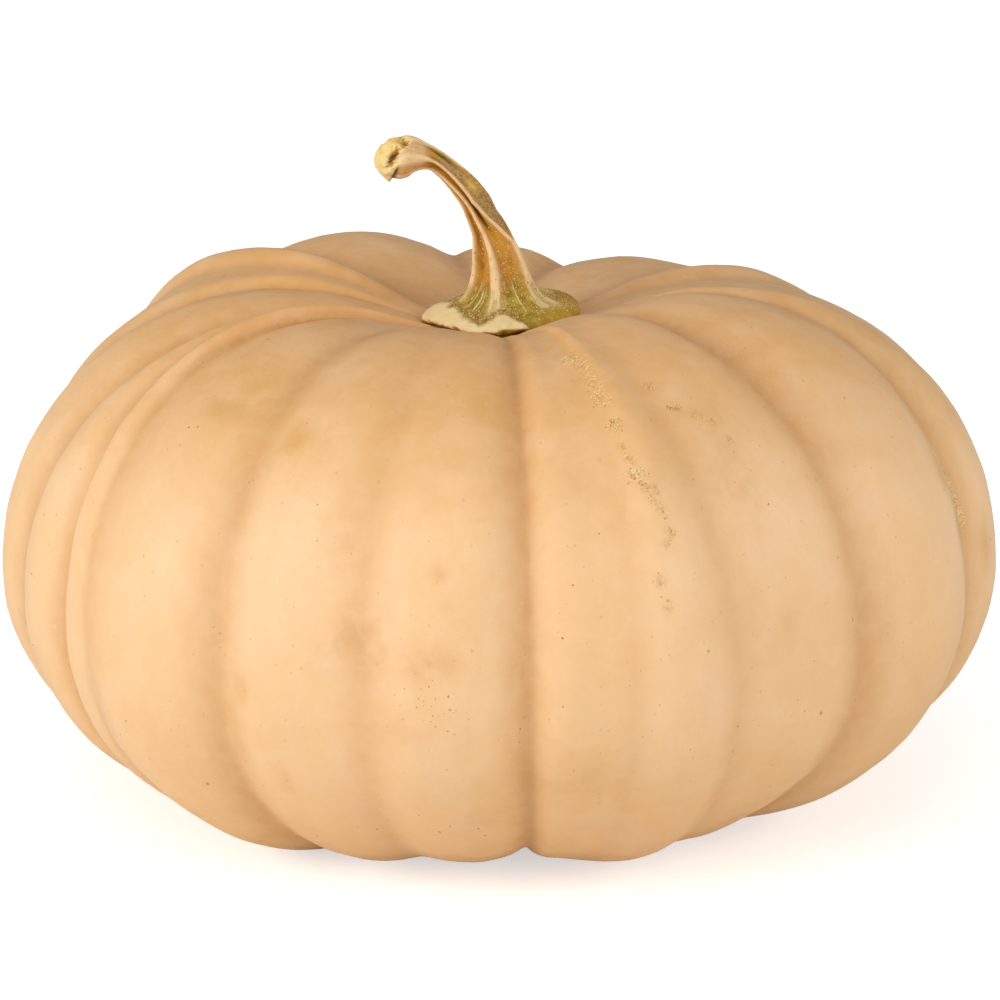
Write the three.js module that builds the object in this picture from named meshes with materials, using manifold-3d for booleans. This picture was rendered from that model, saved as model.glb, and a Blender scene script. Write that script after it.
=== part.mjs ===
// A ripe, flattened, tan-skinned pumpkin with its dry stem, resting on its base.
// Millimetres, +Z up. The origin is on the ground, under the middle of the fruit.
// -Y is the side that faces the viewer, and azimuths are counted from it towards +X, in degrees.
import * as THREE from 'three';
import { mergeVertices } from 'three/addons/utils/BufferGeometryUtils.js';
import Module from 'manifold-3d';

// Driving dimensions of the fruit
const WAIST_RADIUS = 148.7;      // axis to the widest place of a rib of mean size
const WAIST_HEIGHT = 73.4;       // ground to the widest place
const CROWN_RISE = 88.8;         // waist to the top, if there were no hollow round the stem
const BASE_DROP = 84;            // waist to the bottom, if there were no hollow underneath
const CROWN_SHAPE = [3.3, 2.04]; // powers of the shoulder's curve, along the radius and along the height
const BASE_SHAPE = [2.5, 2.06];  // the same for the lower half
const STEM_HOLLOW = { depth: 19.5, width: 0.32 };   // width as a share of the waist's radius
const BLOSSOM_HOLLOW = { depth: 14.5, width: 0.39 };
const LEVELLING = 0.3;           // share of the radius within which the ribs are level with each other
const FURROW_POWER = 2.4;        // how quickly a rib rises from its furrow: 1 is straight, 3 is steep
const FURROW_ROUNDING = 0.08;    // share of half a rib over which the furrow's bottom is rounded
const FURROW_ENDS = [0.05, 0.5]; // shares of the radius where a furrow begins and where it is at its depth
const FURROW_TILT = 0.7;         // how far a furrow is cut inwards rather than along the axis

// The furrows in order round the fruit, each with the rib that follows it. azimuth is at the waist, and
// lead and trail turn the furrow as it climbs to the stem and goes down to the base. cut is its depth in
// mm near the crown, at the waist and near the base. The rib swells outwards by reach, up by crown and
// down by keel, in mm more than the mean.
const RIBS = [
  { azimuth: -174, lead: 5.5, trail: 0, cut: [7, 5, 4], reach: 3, crown: 2, keel: 0 },
  { azimuth: -137, lead: 20, trail: 0, cut: [6.5, 5, 3], reach: 4, crown: 5, keel: 0 },
  { azimuth: -121, lead: 16.5, trail: 0, cut: [1, 3, 4], reach: -1.5, crown: 0.5, keel: 0 },
  { azimuth: -92, lead: -4.3, trail: 0, cut: [2.5, 3.5, 4], reach: 2, crown: 0, keel: -4 },
  { azimuth: -73, lead: 5, trail: 1.5, cut: [3.7, 3, 4], reach: 0.5, crown: -0.6, keel: 0 },
  { azimuth: -61, lead: -4, trail: -4.5, cut: [1, 4.5, 2.5], reach: -2, crown: 2.2, keel: 3 },
  { azimuth: -54, lead: -8, trail: -4, cut: [4, 1.8, 3], reach: 2.5, crown: -0.7, keel: 2 },
  { azimuth: -33, lead: -3.5, trail: 3, cut: [2, 3.5, 4], reach: -3.5, crown: 0.5, keel: 1 },
  { azimuth: -15.5, lead: -1.5, trail: 2.5, cut: [0, 2, 1.5], reach: -1, crown: 0, keel: -2 },
  { azimuth: 3.5, lead: 0, trail: 3, cut: [3, 5, 3.5], reach: -1.5, crown: -0.5, keel: -3 },
  { azimuth: 15, lead: 0, trail: 0, cut: [0, 0.7, 0], reach: 1.5, crown: 3, keel: -0.5 },
  { azimuth: 27.5, lead: -9, trail: 3, cut: [0.5, 1.5, 1.5], reach: -4, crown: 5.2, keel: -2.5 },
  { azimuth: 46.5, lead: -4, trail: -4, cut: [4, 4, 3], reach: 2.5, crown: 5.6, keel: -2.5 },
  { azimuth: 72.5, lead: 6.5, trail: 1, cut: [1, 6, 2.5], reach: 3, crown: 2.8, keel: -4 },
  { azimuth: 96, lead: -10.7, trail: 1, cut: [1, 2.5, 4], reach: 3.5, crown: -3, keel: 0 },
  { azimuth: 120, lead: -7.5, trail: 0, cut: [1.7, 2.5, 4], reach: 2, crown: -2.4, keel: 0 },
  { azimuth: 137.5, lead: -12, trail: 0, cut: [2.5, 2.5, 4], reach: 2, crown: -7.3, keel: 0 },
  { azimuth: 164.5, lead: 3.3, trail: 0, cut: [6, 5, 4], reach: 0, crown: -6, keel: 0 },
];
const ROWS = 30;                                             // steps from the stem down to the blossom end
const PLACES = [0, 0.08, 0.2, 0.35, 0.5, 0.65, 0.8, 0.92];   // across one rib, close together at its furrows

// Driving dimensions of the stem
const SEAT_GAP = 0.3;                    // between the stem's foot and the fruit
const SEAT_HEIGHT = WAIST_HEIGHT + 74;   // the fruit's surface at the foot's edge
const STEM_POINTS = 45;                  // round one ring
// The middle line, sideways from the axis and above the seat: it leaves straight up and arches to the left
const STEM_LINE = [
  [2.9, 0, -12], [2.3, 0, 0], [1.6, 0, 10], [0.4, 0, 17.7], [-2.2, -0.3, 26], [-4.3, -0.6, 30.3], [-6.9, -1, 36.4],
  [-12.1, -1.6, 43], [-18.2, -2.2, 48.2], [-22.6, -2.7, 49.8], [-26.8, -3.2, 50.1], [-30, -3.6, 49],
];
const BURIED_LENGTH = 12;
// Radius over the ridges at each length along the stem from the seat: the lip of the foot, its top, the
// neck, the shaft, the widened cut end and the callus that closes it
const STEM_OUTLINE = [
  [-9, 20], [-3, 22.4], [0, 23.8], [1.6, 23.6], [3, 22.2], [4.1, 19], [5.2, 15.8], [6.6, 13], [8.3, 11.3],
  [10.5, 10.2], [14, 9.2], [18, 8.3], [22.5, 7.1], [26.5, 5.8], [31, 4.9], [38, 4.7], [46, 4.1], [51, 3.7],
  [55, 3.7], [58.5, 4.4], [62, 5.7], [65, 6.6], [67.5, 6.4], [70, 5.6], [72, 4.2], [73.2, 2.4],
];
const STEM_TIP = 73.8;
// Where each of the five ridges runs, as its azimuth at these lengths along the stem: straight up from the
// foot, then round to the left as the stem arches over
const RIDGE_STATIONS = [0, 22, 31, 38, 47, 58];
const RIDGES = [
  [-84, -80, -78, -76, -85, -100],
  [-12, -13, -22, -33, -48, -60],
  [60, 62, 27, -6, -4, 0],
  [132, 130, 100, 72, 70, 75],
  [204, 204, 185, 165, 165, 165],
];
const RIDGE_WIDTH = 19;                  // degrees from a ridge's crest to where it has sunk to a third
const CHANNEL_DEPTH = 0.3;               // how far a channel sinks between two ridges, as a share of the radius
const FOOT_CHANNEL_DEPTH = 0.08;

// Colours and gloss
const SKIN = { color: 0xe9c08c, roughness: 0.42, metalness: 0 };
const STEM_SKIN = { color: 0xb59a5c, roughness: 0.8, metalness: 0 };

const smoothRise = (low, high, x) => THREE.MathUtils.smoothstep(x, low, high);

// Smooth mean of a rib's own figure and its neighbours' at place t across the rib
function blend(key, i, t) {
  const before = RIBS[(i + RIBS.length - 1) % RIBS.length][key];
  const here = RIBS[i][key];
  const after = RIBS[(i + 1) % RIBS.length][key];
  return t < 0.5
    ? THREE.MathUtils.lerp(before, here, smoothRise(0, 1, t + 0.5))
    : THREE.MathUtils.lerp(here, after, smoothRise(0, 1, t - 0.5));
}

// Point of the skin at angle v down from the crown and place t across rib i, moved out by swell
function skinPoint(v, i, t, swell) {
  const next = (i + 1) % RIBS.length;
  const radial = Math.sin(v);
  const axial = Math.cos(v);
  const upper = axial > 0;
  const polar = axial * axial;
  const turn = (rib) => rib.azimuth + polar * (upper ? rib.lead : rib.trail);
  const end = turn(RIBS[next]) + (next === 0 ? 360 : 0);
  const azimuth = THREE.MathUtils.degToRad(THREE.MathUtils.lerp(turn(RIBS[i]), end, t));

  const [radiusPower, heightPower] = upper ? CROWN_SHAPE : BASE_SHAPE;
  const bow = Math.max(1 - radial ** radiusPower, 0) ** (1 / heightPower);
  let radius = (WAIST_RADIUS + blend('reach', i, t)) * radial;
  const own = 1 - Math.exp(-((radial / LEVELLING) ** 2));
  let height = upper
    ? (CROWN_RISE + own * blend('crown', i, t)) * bow
    : -(BASE_DROP + own * blend('keel', i, t)) * bow;
  const hollow = upper ? STEM_HOLLOW : BLOSSOM_HOLLOW;
  height -= Math.sign(axial) * hollow.depth * Math.exp(-((radial / hollow.width) ** 2));

  const furrow = (t < 0.5 ? RIBS[i] : RIBS[next]).cut;
  const depth = furrow[1] * (1 - polar) + polar * (upper ? furrow[0] : furrow[2]);
  const away = 2 * Math.min(t, 1 - t);
  const rounded = Math.hypot(away, FURROW_ROUNDING) - FURROW_ROUNDING;
  const deepened = smoothRise(...FURROW_ENDS, radial);
  const inset = depth * deepened * (1 - rounded) ** FURROW_POWER - swell;
  const facing = new THREE.Vector2(radial * FURROW_TILT, axial).normalize();
  radius -= inset * facing.x;
  height -= inset * facing.y;
  const rise = Math.max(WAIST_HEIGHT + height, -swell);
  return new THREE.Vector3(radius * Math.sin(azimuth), -radius * Math.cos(azimuth), rise);
}

// Closed mesh from rings of points, each ring going anticlockwise seen from above, topmost ring first
function skinRings(top, rings, bottom) {
  const count = rings[0].length;
  const points = [top, ...rings.flat(), bottom];
  const at = (ring, k) => 1 + ring * count + (k % count);
  const last = rings.length - 1;
  const faces = [];
  for (let k = 0; k < count; k += 1) {
    faces.push(0, at(0, k), at(0, k + 1));
    faces.push(points.length - 1, at(last, k + 1), at(last, k));
    for (let ring = 0; ring < last; ring += 1) {
      faces.push(at(ring, k), at(ring + 1, k), at(ring + 1, k + 1));
      faces.push(at(ring, k), at(ring + 1, k + 1), at(ring, k + 1));
    }
  }
  const geometry = new THREE.BufferGeometry().setFromPoints(points);
  geometry.setIndex(faces);
  return geometry;
}

function fruitGeometry(swell) {
  const rings = [];
  for (let row = 1; row < ROWS; row += 1) {
    const v = (Math.PI * row) / ROWS;
    rings.push(RIBS.flatMap((rib, i) => PLACES.map((t) => skinPoint(v, i, t, swell))));
  }
  return skinRings(skinPoint(0, 0, 0, swell), rings, skinPoint(Math.PI, 0, 0, swell));
}

// Azimuth of a ridge at a length along the stem
function ridgeTurn(turns, along) {
  const next = RIDGE_STATIONS.findIndex((station) => station > along);
  if (next === -1) return turns[turns.length - 1];
  if (next === 0) return turns[0];
  const share = THREE.MathUtils.inverseLerp(RIDGE_STATIONS[next - 1], RIDGE_STATIONS[next], along);
  return THREE.MathUtils.lerp(turns[next - 1], turns[next], share);
}

// Share of the radius that the stem has at an azimuth: 1 on a ridge, less in the channels
function ridgeShape(azimuth, along, depth) {
  const crests = RIDGES.map((turns) => {
    const off = THREE.MathUtils.euclideanModulo(azimuth - ridgeTurn(turns, along) + 180, 360) - 180;
    return Math.exp(-((off / RIDGE_WIDTH) ** 2));
  });
  return 1 - depth * (1 - Math.max(...crests));
}

function stemGeometry() {
  const knots = STEM_LINE.map(([x, y, z]) => new THREE.Vector3(x, y, SEAT_HEIGHT + z));
  const line = new THREE.CatmullRomCurve3(knots, false, 'centripetal');
  const length = line.getLength();
  const place = (along) => {
    const share = Math.min((along + BURIED_LENGTH) / length, 1);
    const forward = line.getTangentAt(share);
    const beyond = Math.max(along + BURIED_LENGTH - length, 0);
    return { centre: line.getPointAt(share).addScaledVector(forward, beyond), forward };
  };
  const rings = STEM_OUTLINE.map(([along, radius]) => {
    const { centre, forward } = place(along);
    const back = new THREE.Vector3(0, 1, 0).addScaledVector(forward, -forward.y).normalize();
    const side = back.clone().cross(forward);
    const risen = smoothRise(4, 16, along) * (1 - smoothRise(60, 70, along));
    const depth = THREE.MathUtils.lerp(FOOT_CHANNEL_DEPTH, CHANNEL_DEPTH, risen);
    return Array.from({ length: STEM_POINTS }, (_, k) => {
      const azimuth = (360 * k) / STEM_POINTS;
      const angle = THREE.MathUtils.degToRad(azimuth);
      const reach = radius * ridgeShape(azimuth, along, depth);
      return centre.clone()
        .addScaledVector(side, reach * Math.sin(angle))
        .addScaledVector(back, -reach * Math.cos(angle));
    });
  });
  rings.reverse();
  const root = place(STEM_OUTLINE[0][0]).centre;
  return skinRings(place(STEM_TIP).centre, rings, root);
}

const wasm = await Module();
wasm.setup();

function solid(geometry) {
  const bare = mergeVertices(geometry, 1e-4);
  return new wasm.Manifold(new wasm.Mesh({
    numProp: 3,
    vertProperties: new Float32Array(bare.attributes.position.array),
    triVerts: new Uint32Array(bare.index.array),
  }));
}

function geometryOf(body) {
  const mesh = body.getMesh();
  const geometry = new THREE.BufferGeometry();
  geometry.setAttribute('position', new THREE.BufferAttribute(mesh.vertProperties, mesh.numProp));
  geometry.setIndex(new THREE.BufferAttribute(mesh.triVerts, 1));
  geometry.computeVertexNormals();
  return geometry;
}

function namedMesh(name, geometry, finish) {
  const mesh = new THREE.Mesh(geometry, new THREE.MeshStandardMaterial(finish));
  mesh.name = name;
  return mesh;
}

const pumpkin = new THREE.Group();
const fruit = fruitGeometry(0);
fruit.computeVertexNormals();
pumpkin.add(namedMesh('fruit', fruit, SKIN));

// The foot sits on the skin: what would reach below it, and the thin gap, is cut away
const stem = solid(stemGeometry()).subtract(solid(fruitGeometry(SEAT_GAP)));
pumpkin.add(namedMesh('stem', geometryOf(stem), STEM_SKIN));

export default pumpkin;
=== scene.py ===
"""A whole ribbed tan pumpkin with its dry arched stem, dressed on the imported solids.

The skin and the stem repeat the rules that their solids were made from, with many more points and with
the low relief, crumbs and colours that the solids leave out. Sizes are in millimetres until the last
step of each mesh, which turns them into metres.
"""
import logging
import math
from dataclasses import dataclass, field
from enum import Enum
from typing import Union

import bpy
import numpy as np
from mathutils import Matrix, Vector, noise


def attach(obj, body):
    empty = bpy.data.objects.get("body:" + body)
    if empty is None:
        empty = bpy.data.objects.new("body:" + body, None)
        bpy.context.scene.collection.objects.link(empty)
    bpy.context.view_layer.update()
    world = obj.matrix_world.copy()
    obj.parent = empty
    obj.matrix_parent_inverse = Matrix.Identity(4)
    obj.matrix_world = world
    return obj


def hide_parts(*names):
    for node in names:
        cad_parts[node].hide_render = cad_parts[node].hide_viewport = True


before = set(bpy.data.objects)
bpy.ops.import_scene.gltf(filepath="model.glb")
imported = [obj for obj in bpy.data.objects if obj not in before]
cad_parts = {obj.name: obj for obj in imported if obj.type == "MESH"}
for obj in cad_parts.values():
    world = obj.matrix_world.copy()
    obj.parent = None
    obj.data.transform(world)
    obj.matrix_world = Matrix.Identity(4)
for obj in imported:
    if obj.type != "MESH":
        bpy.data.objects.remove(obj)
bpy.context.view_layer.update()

log = logging.getLogger("pumpkin")

MILLIMETRE = 0.001
FULL_TURN = 2 * math.pi


class Slot(Enum):
    """Material slots of the record."""

    SKIN = "skin"
    STEM = "stem"


class MarkKind(Enum):
    """Stains of the skin, each by the name of the attribute that carries it; the dusky kind also carries
    painted shadow round the stem.
    """

    OCHRE = "ochre"
    DUSK_AND_SHADOW = "dusk_and_shadow"
    BLOOM = "bloom"


def paint(red: int, green: int, blue: int) -> tuple[float, float, float, float]:
    """Linear colour of a paint chip given as three screen values of 0 to 255.

    Args:
        red: red screen value.
        green: green screen value.
        blue: blue screen value.

    Returns:
        Red, green, blue and an alpha of 1.
    """
    shares = [value / 255 for value in (red, green, blue)]
    linear = [((share + 0.055) / 1.055) ** 2.4 if share > 0.0405 else share / 12.92 for share in shares]
    return (*linear, 1.0)


def smooth_rise(low: float, high: float, x: np.ndarray) -> np.ndarray:
    """Smooth step from 0 at low to 1 at high.

    Args:
        low: where the step starts.
        high: where it ends.
        x: values along it.

    Returns:
        The height at each value.
    """
    share = np.clip((x - low) / (high - low), 0, 1)
    return share * share * (3 - 2 * share)


def hill(x: np.ndarray, width: float) -> np.ndarray:
    """Bell curve of height 1 round zero."""
    return np.exp(-((x / width) ** 2))


def bridge(
    share: np.ndarray, first: np.ndarray, start: np.ndarray, last: np.ndarray, end: np.ndarray
) -> np.ndarray:
    """Smooth cubic between two values.

    Args:
        share: 0 at the first value and 1 at the last.
        first: value that it leaves.
        start: its slope there.
        last: value that it reaches.
        end: its slope there.

    Returns:
        The value at each share.
    """
    square, cube = share**2, share**3
    return (
        first * (2 * cube - 3 * square + 1) + start * (cube - 2 * square + share)
        + last * (3 * square - 2 * cube) + end * (cube - square)
    )


def wander(points: np.ndarray, size: float, seed: float = 0.0) -> np.ndarray:
    """Smooth random values of about -1 to 1.

    Args:
        points: places, one row each.
        size: length over which the values change, in the units of the places.
        seed: shift that picks another pattern.

    Returns:
        One value for each row.
    """
    shift = Vector((seed, seed * 1.7, -seed))
    return np.array([noise.noise(Vector(row) / size + shift) for row in points.tolist()])


def wrapped(turn: np.ndarray, along: np.ndarray, radius: float, pace: float) -> np.ndarray:
    """Places round a cylinder, on which random values meet without a seam.

    Args:
        turn: angle round the cylinder in degrees.
        along: length along it.
        radius: its radius, in the units that the random values change over.
        pace: those units for each unit of length.

    Returns:
        One row of three numbers for each point.
    """
    radians = np.radians(turn)
    return np.stack([np.cos(radians) * radius, np.sin(radians) * radius, along * pace], axis=1)


class Term:
    """An output of a node, on which plain arithmetic builds further nodes."""

    def __init__(self, wiring: "Wiring", socket: bpy.types.NodeSocket) -> None:
        """Keeps the socket and the tree that it belongs to."""
        self.wiring = wiring
        self.socket = socket

    def also(self, name: Union[int, str]) -> "Term":
        """Another output of the same node."""
        return Term(self.wiring, self.socket.node.outputs[name])

    def __add__(self, other: "Value") -> "Term":
        """Sum."""
        return self.wiring.math("ADD", self, other)

    def __radd__(self, other: "Value") -> "Term":
        """Sum, with the plain number first."""
        return self.wiring.math("ADD", other, self)

    def __sub__(self, other: "Value") -> "Term":
        """Difference."""
        return self.wiring.math("SUBTRACT", self, other)

    def __rsub__(self, other: "Value") -> "Term":
        """Difference, with the plain number first."""
        return self.wiring.math("SUBTRACT", other, self)

    def __mul__(self, other: "Value") -> "Term":
        """Product."""
        return self.wiring.math("MULTIPLY", self, other)

    def __rmul__(self, other: "Value") -> "Term":
        """Product, with the plain number first."""
        return self.wiring.math("MULTIPLY", other, self)

    def __truediv__(self, other: "Value") -> "Term":
        """Quotient."""
        return self.wiring.math("DIVIDE", self, other)

    def __rtruediv__(self, other: "Value") -> "Term":
        """Quotient, with the plain number first."""
        return self.wiring.math("DIVIDE", other, self)

    def __pow__(self, other: "Value") -> "Term":
        """Power."""
        return self.wiring.math("POWER", self, other)


Value = Union[Term, float, int, tuple, bpy.types.ID]


class Wiring:
    """Adds nodes to a shader or geometry tree and joins their sockets."""

    def __init__(self, tree: bpy.types.NodeTree) -> None:
        """Keeps the tree."""
        self.tree = tree

    def plug(self, socket: bpy.types.NodeSocket, value: Value) -> None:
        """Links an output to an input, or sets the input's own value.

        Args:
            socket: the input.
            value: an output or a plain value.
        """
        if isinstance(value, Term):
            self.tree.links.new(value.socket, socket)
        else:
            socket.default_value = value

    def node(
        self, kind: str, inputs: dict | None = None, output: Union[int, str] = 0, **settings: object
    ) -> Term:
        """Adds a node.

        Args:
            kind: the node's type name.
            inputs: value or output for each input, by name or place.
            output: which output is wanted.
            settings: the node's own options.

        Returns:
            The wanted output.
        """
        made = self.tree.nodes.new(kind)
        for name, value in settings.items():
            setattr(made, name, value)
        for key, value in (inputs or {}).items():
            self.plug(made.inputs[key], value)
        return Term(self, made.outputs[output])

    def math(self, operation: str, *values: Value) -> Term:
        """A Math node."""
        return self.node("ShaderNodeMath", dict(enumerate(values)), operation=operation)

    def vector(self, operation: str, *values: Value, output: int = 0) -> Term:
        """A Vector Math node, whose output 1 is the number of a length or dot product."""
        return self.node("ShaderNodeVectorMath", dict(enumerate(values)), output, operation=operation)

    def stretch(self, vector: Term, factor: Value) -> Term:
        """A vector times a number."""
        return self.node("ShaderNodeVectorMath", {0: vector, "Scale": factor}, operation="SCALE")

    def join(self, x: Value, y: Value, z: Value) -> Term:
        """A vector of three numbers."""
        return self.node("ShaderNodeCombineXYZ", {0: x, 1: y, 2: z})

    def blend(self, share: Value, first: Value, second: Value) -> Term:
        """Number between first, at share 0, and second, at share 1."""
        return self.node("ShaderNodeMix", {0: share, 2: first, 3: second}, data_type="FLOAT")

    def bell(self, distance: Value, width: Value) -> Term:
        """Bell curve of height 1 round zero."""
        ratio = self.math("DIVIDE", distance, width)
        return self.math("EXPONENT", ratio * ratio * -1.0)

    def rise(self, value: Value, low: Value, high: Value, bottom: Value = 0.0, top: Value = 1.0) -> Term:
        """Smooth step between two levels."""
        levels = {0: value, 1: low, 2: high, 3: bottom, 4: top}
        return self.node("ShaderNodeMapRange", levels, interpolation_type="SMOOTHSTEP")

    def cloud(self, vector: Term, scale: Value, detail: float = 2.0, warp: float = 0.0) -> Term:
        """Noise of 0 to 1 about 0.5.

        Args:
            vector: the place that it reads.
            scale: how fine it is.
            detail: how many finer layers it has.
            warp: how far it is distorted.

        Returns:
            The noise.
        """
        return self.node(
            "ShaderNodeTexNoise", {"Vector": vector, "Scale": scale, "Detail": detail, "Distortion": warp}
        )

    def tint(self, share: Value, first: Value, second: Value) -> Term:
        """Colour between first, at share 0, and second, at share 1."""
        return self.node("ShaderNodeMix", {0: share, 6: first, 7: second}, 2, data_type="RGBA")


class Recipe:
    """A geometry node tree with named inputs, run once on an object."""

    def __init__(self, title: str) -> None:
        """Starts a tree that takes a geometry and gives one.

        Args:
            title: the tree's name.
        """
        self.tree = bpy.data.node_groups.new(title, "GeometryNodeTree")
        for way in ("INPUT", "OUTPUT"):
            self.tree.interface.new_socket("Geometry", in_out=way, socket_type="NodeSocketGeometry")
        self.wiring = Wiring(self.tree)
        self.entry = self.tree.nodes.new("NodeGroupInput")
        self.exit = self.tree.nodes.new("NodeGroupOutput")
        self.given: dict[str, object] = {}

    @property
    def geometry(self) -> Term:
        """What the tree is given."""
        return Term(self.wiring, self.entry.outputs[0])

    def take(self, name: str, value: object, kind: str = "NodeSocketFloat") -> Term:
        """Adds a named input.

        Args:
            name: the input's name.
            value: what the modifier gives it.
            kind: its socket type.

        Returns:
            The input as seen inside the tree.
        """
        socket = self.tree.interface.new_socket(name, in_out="INPUT", socket_type=kind)
        self.given[socket.identifier] = value
        return Term(self.wiring, self.entry.outputs[name])

    def attribute(self, name: str, kind: str = "FLOAT") -> Term:
        """A named attribute of the geometry."""
        return self.wiring.node("GeometryNodeInputNamedAttribute", {"Name": name}, data_type=kind)

    def move(self, geometry: Term, place: Term) -> Term:
        """Puts every point at a place."""
        return self.wiring.node("GeometryNodeSetPosition", {"Geometry": geometry, "Position": place})

    def blur(self, geometry: Term, steps: Term, weight: Term) -> Term:
        """Evens out the points' places with their neighbours', a number of times, where the weight says.

        Args:
            geometry: the mesh.
            steps: how many times.
            weight: how far each point gives way, from 0 to 1.

        Returns:
            The smoothed mesh.
        """
        position = self.wiring.node("GeometryNodeInputPosition")
        smoother = self.wiring.node(
            "GeometryNodeBlurAttribute", {"Value": position, "Iterations": steps, "Weight": weight},
            data_type="FLOAT_VECTOR",
        )
        return self.move(geometry, smoother)

    def host(self, piece: bpy.types.Object) -> Term:
        """Geometry of a finished piece, given as the input Host."""
        taken = self.take("Host", piece, "NodeSocketObject")
        return self.wiring.node("GeometryNodeObjectInfo", {"Object": taken}, "Geometry")

    def chance(self, low: Value, high: Value, seed: Term, **inputs: Value) -> Term:
        """A random number for each point."""
        kept = {2: low, 3: high, "Seed": seed, **inputs}
        return self.wiring.node("FunctionNodeRandomValue", kept, 1, data_type="FLOAT")

    def crumbs(self, points: Term, turned: Term, scale: Term) -> Term:
        """A ball of 20 faces at each point, turned and scaled.

        Args:
            points: where the balls lie.
            turned: rotation of each.
            scale: half sizes of each.

        Returns:
            The balls as instances.
        """
        ball = self.wiring.node("GeometryNodeMeshIcoSphere", {"Radius": 1.0, "Subdivisions": 1})
        inputs = {"Points": points, "Instance": ball, "Rotation": turned, "Scale": scale}
        return self.wiring.node("GeometryNodeInstanceOnPoints", inputs)

    def close(self, geometry: Term, material: bpy.types.Material) -> None:
        """Realizes, paints and gives out the geometry.

        Args:
            geometry: the finished geometry.
            material: its finish.
        """
        wiring = self.wiring
        finish = self.take("Material", material, "NodeSocketMaterial")
        real = wiring.node("GeometryNodeRealizeInstances", {0: geometry})
        smooth = wiring.node("GeometryNodeSetShadeSmooth", {0: real})
        painted = wiring.node("GeometryNodeSetMaterial", {"Geometry": smooth, "Material": finish})
        wiring.plug(self.exit.inputs[0], painted)

    def run(self, blank: bpy.types.Object, name: str) -> bpy.types.Object:
        """Runs the tree on an object and turns the result into a plain piece.

        Args:
            blank: the object that the tree starts from; it is used up.
            name: the piece's name.

        Returns:
            The piece, at the origin, with no modifier.
        """
        modifier = blank.modifiers.new(self.tree.name, "NODES")
        modifier.node_group = self.tree
        for identifier, value in self.given.items():
            modifier[identifier] = value
        depsgraph = bpy.context.evaluated_depsgraph_get()
        mesh = bpy.data.meshes.new_from_object(
            blank.evaluated_get(depsgraph), preserve_all_data_layers=True, depsgraph=depsgraph
        )
        blank.modifiers.remove(modifier)
        bpy.data.objects.remove(blank)
        mesh.name = name
        return place_object(name, mesh)


def store(mesh: bpy.types.Mesh, name: str, values: np.ndarray) -> None:
    """Writes a number, or a vector where the values have rows, for each point of a mesh as an attribute.

    Args:
        mesh: the mesh.
        name: the attribute's name.
        values: one number or row for each point.
    """
    kind, member = ("FLOAT_VECTOR", "vector") if values.ndim == 2 else ("FLOAT", "value")
    layer = mesh.attributes.new(name, kind, "POINT")
    layer.data.foreach_set(member, values.astype(np.float32).ravel())


def place_object(name: str, data: bpy.types.ID) -> bpy.types.Object:
    """Makes an object of a mesh, curve, camera or light and adds it to the scene.

    Args:
        name: the object's name.
        data: what it shows.

    Returns:
        The object, at the origin.
    """
    made = bpy.data.objects.new(name, data)
    bpy.context.collection.objects.link(made)
    return made


def ring_blank(name: str, rings: int, count: int, columns: dict[str, np.ndarray]) -> bpy.types.Object:
    """Closed skin of rings between two end points, with attributes and no shape yet.

    Args:
        name: the blank's name.
        rings: number of rings between the end points, topmost first.
        count: points of a ring, anticlockwise seen from above.
        columns: attribute values for the top point, the rings in order and the bottom point.

    Returns:
        The blank, whose points all lie at the origin.
    """
    last = rings * count + 1
    sides = [(a, (a + 1) % count) for a in range(count)]
    faces = [(0, 1 + a, 1 + b) for a, b in sides]
    for ring in range(rings - 1):
        upper = 1 + ring * count
        lower = upper + count
        faces += [(upper + a, lower + a, lower + b, upper + b) for a, b in sides]
    lowest = 1 + (rings - 1) * count
    faces += [(last, lowest + b, lowest + a) for a, b in sides]
    mesh = bpy.data.meshes.new(name)
    mesh.from_pydata([(0.0, 0.0, 0.0)] * (last + 1), [], faces)
    for title, values in columns.items():
        store(mesh, title, values)
    return place_object(name, mesh)


def points_of(piece: bpy.types.Object) -> np.ndarray:
    """Points of a piece's mesh in millimetres, one row each.

    Args:
        piece: the piece.

    Returns:
        One row of three numbers for each point.
    """
    flat = np.empty(len(piece.data.vertices) * 3, np.float32)
    piece.data.vertices.foreach_get("co", flat)
    return flat.reshape(-1, 3).astype(float) / MILLIMETRE


def fetch(piece: bpy.types.Object, name: str) -> np.ndarray:
    """Reads a number for each point of a piece from an attribute.

    Args:
        piece: the piece.
        name: the attribute's name.

    Returns:
        One number for each point.
    """
    values = np.empty(len(piece.data.vertices), np.float32)
    piece.data.attributes[name].data.foreach_get("value", values)
    return values.astype(float)


def polyline(name: str, rows: np.ndarray) -> bpy.types.Object:
    """Curve object through points given in millimetres.

    Args:
        name: the object's name.
        rows: one row of three numbers for each point.

    Returns:
        The object.
    """
    curve = bpy.data.curves.new(name, "CURVE")
    curve.dimensions = "3D"
    spline = curve.splines.new("POLY")
    spline.points.add(len(rows) - 1)
    for point, row in zip(spline.points, rows):
        point.co = (*(row * MILLIMETRE), 1.0)
    return place_object(name, curve)


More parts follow.
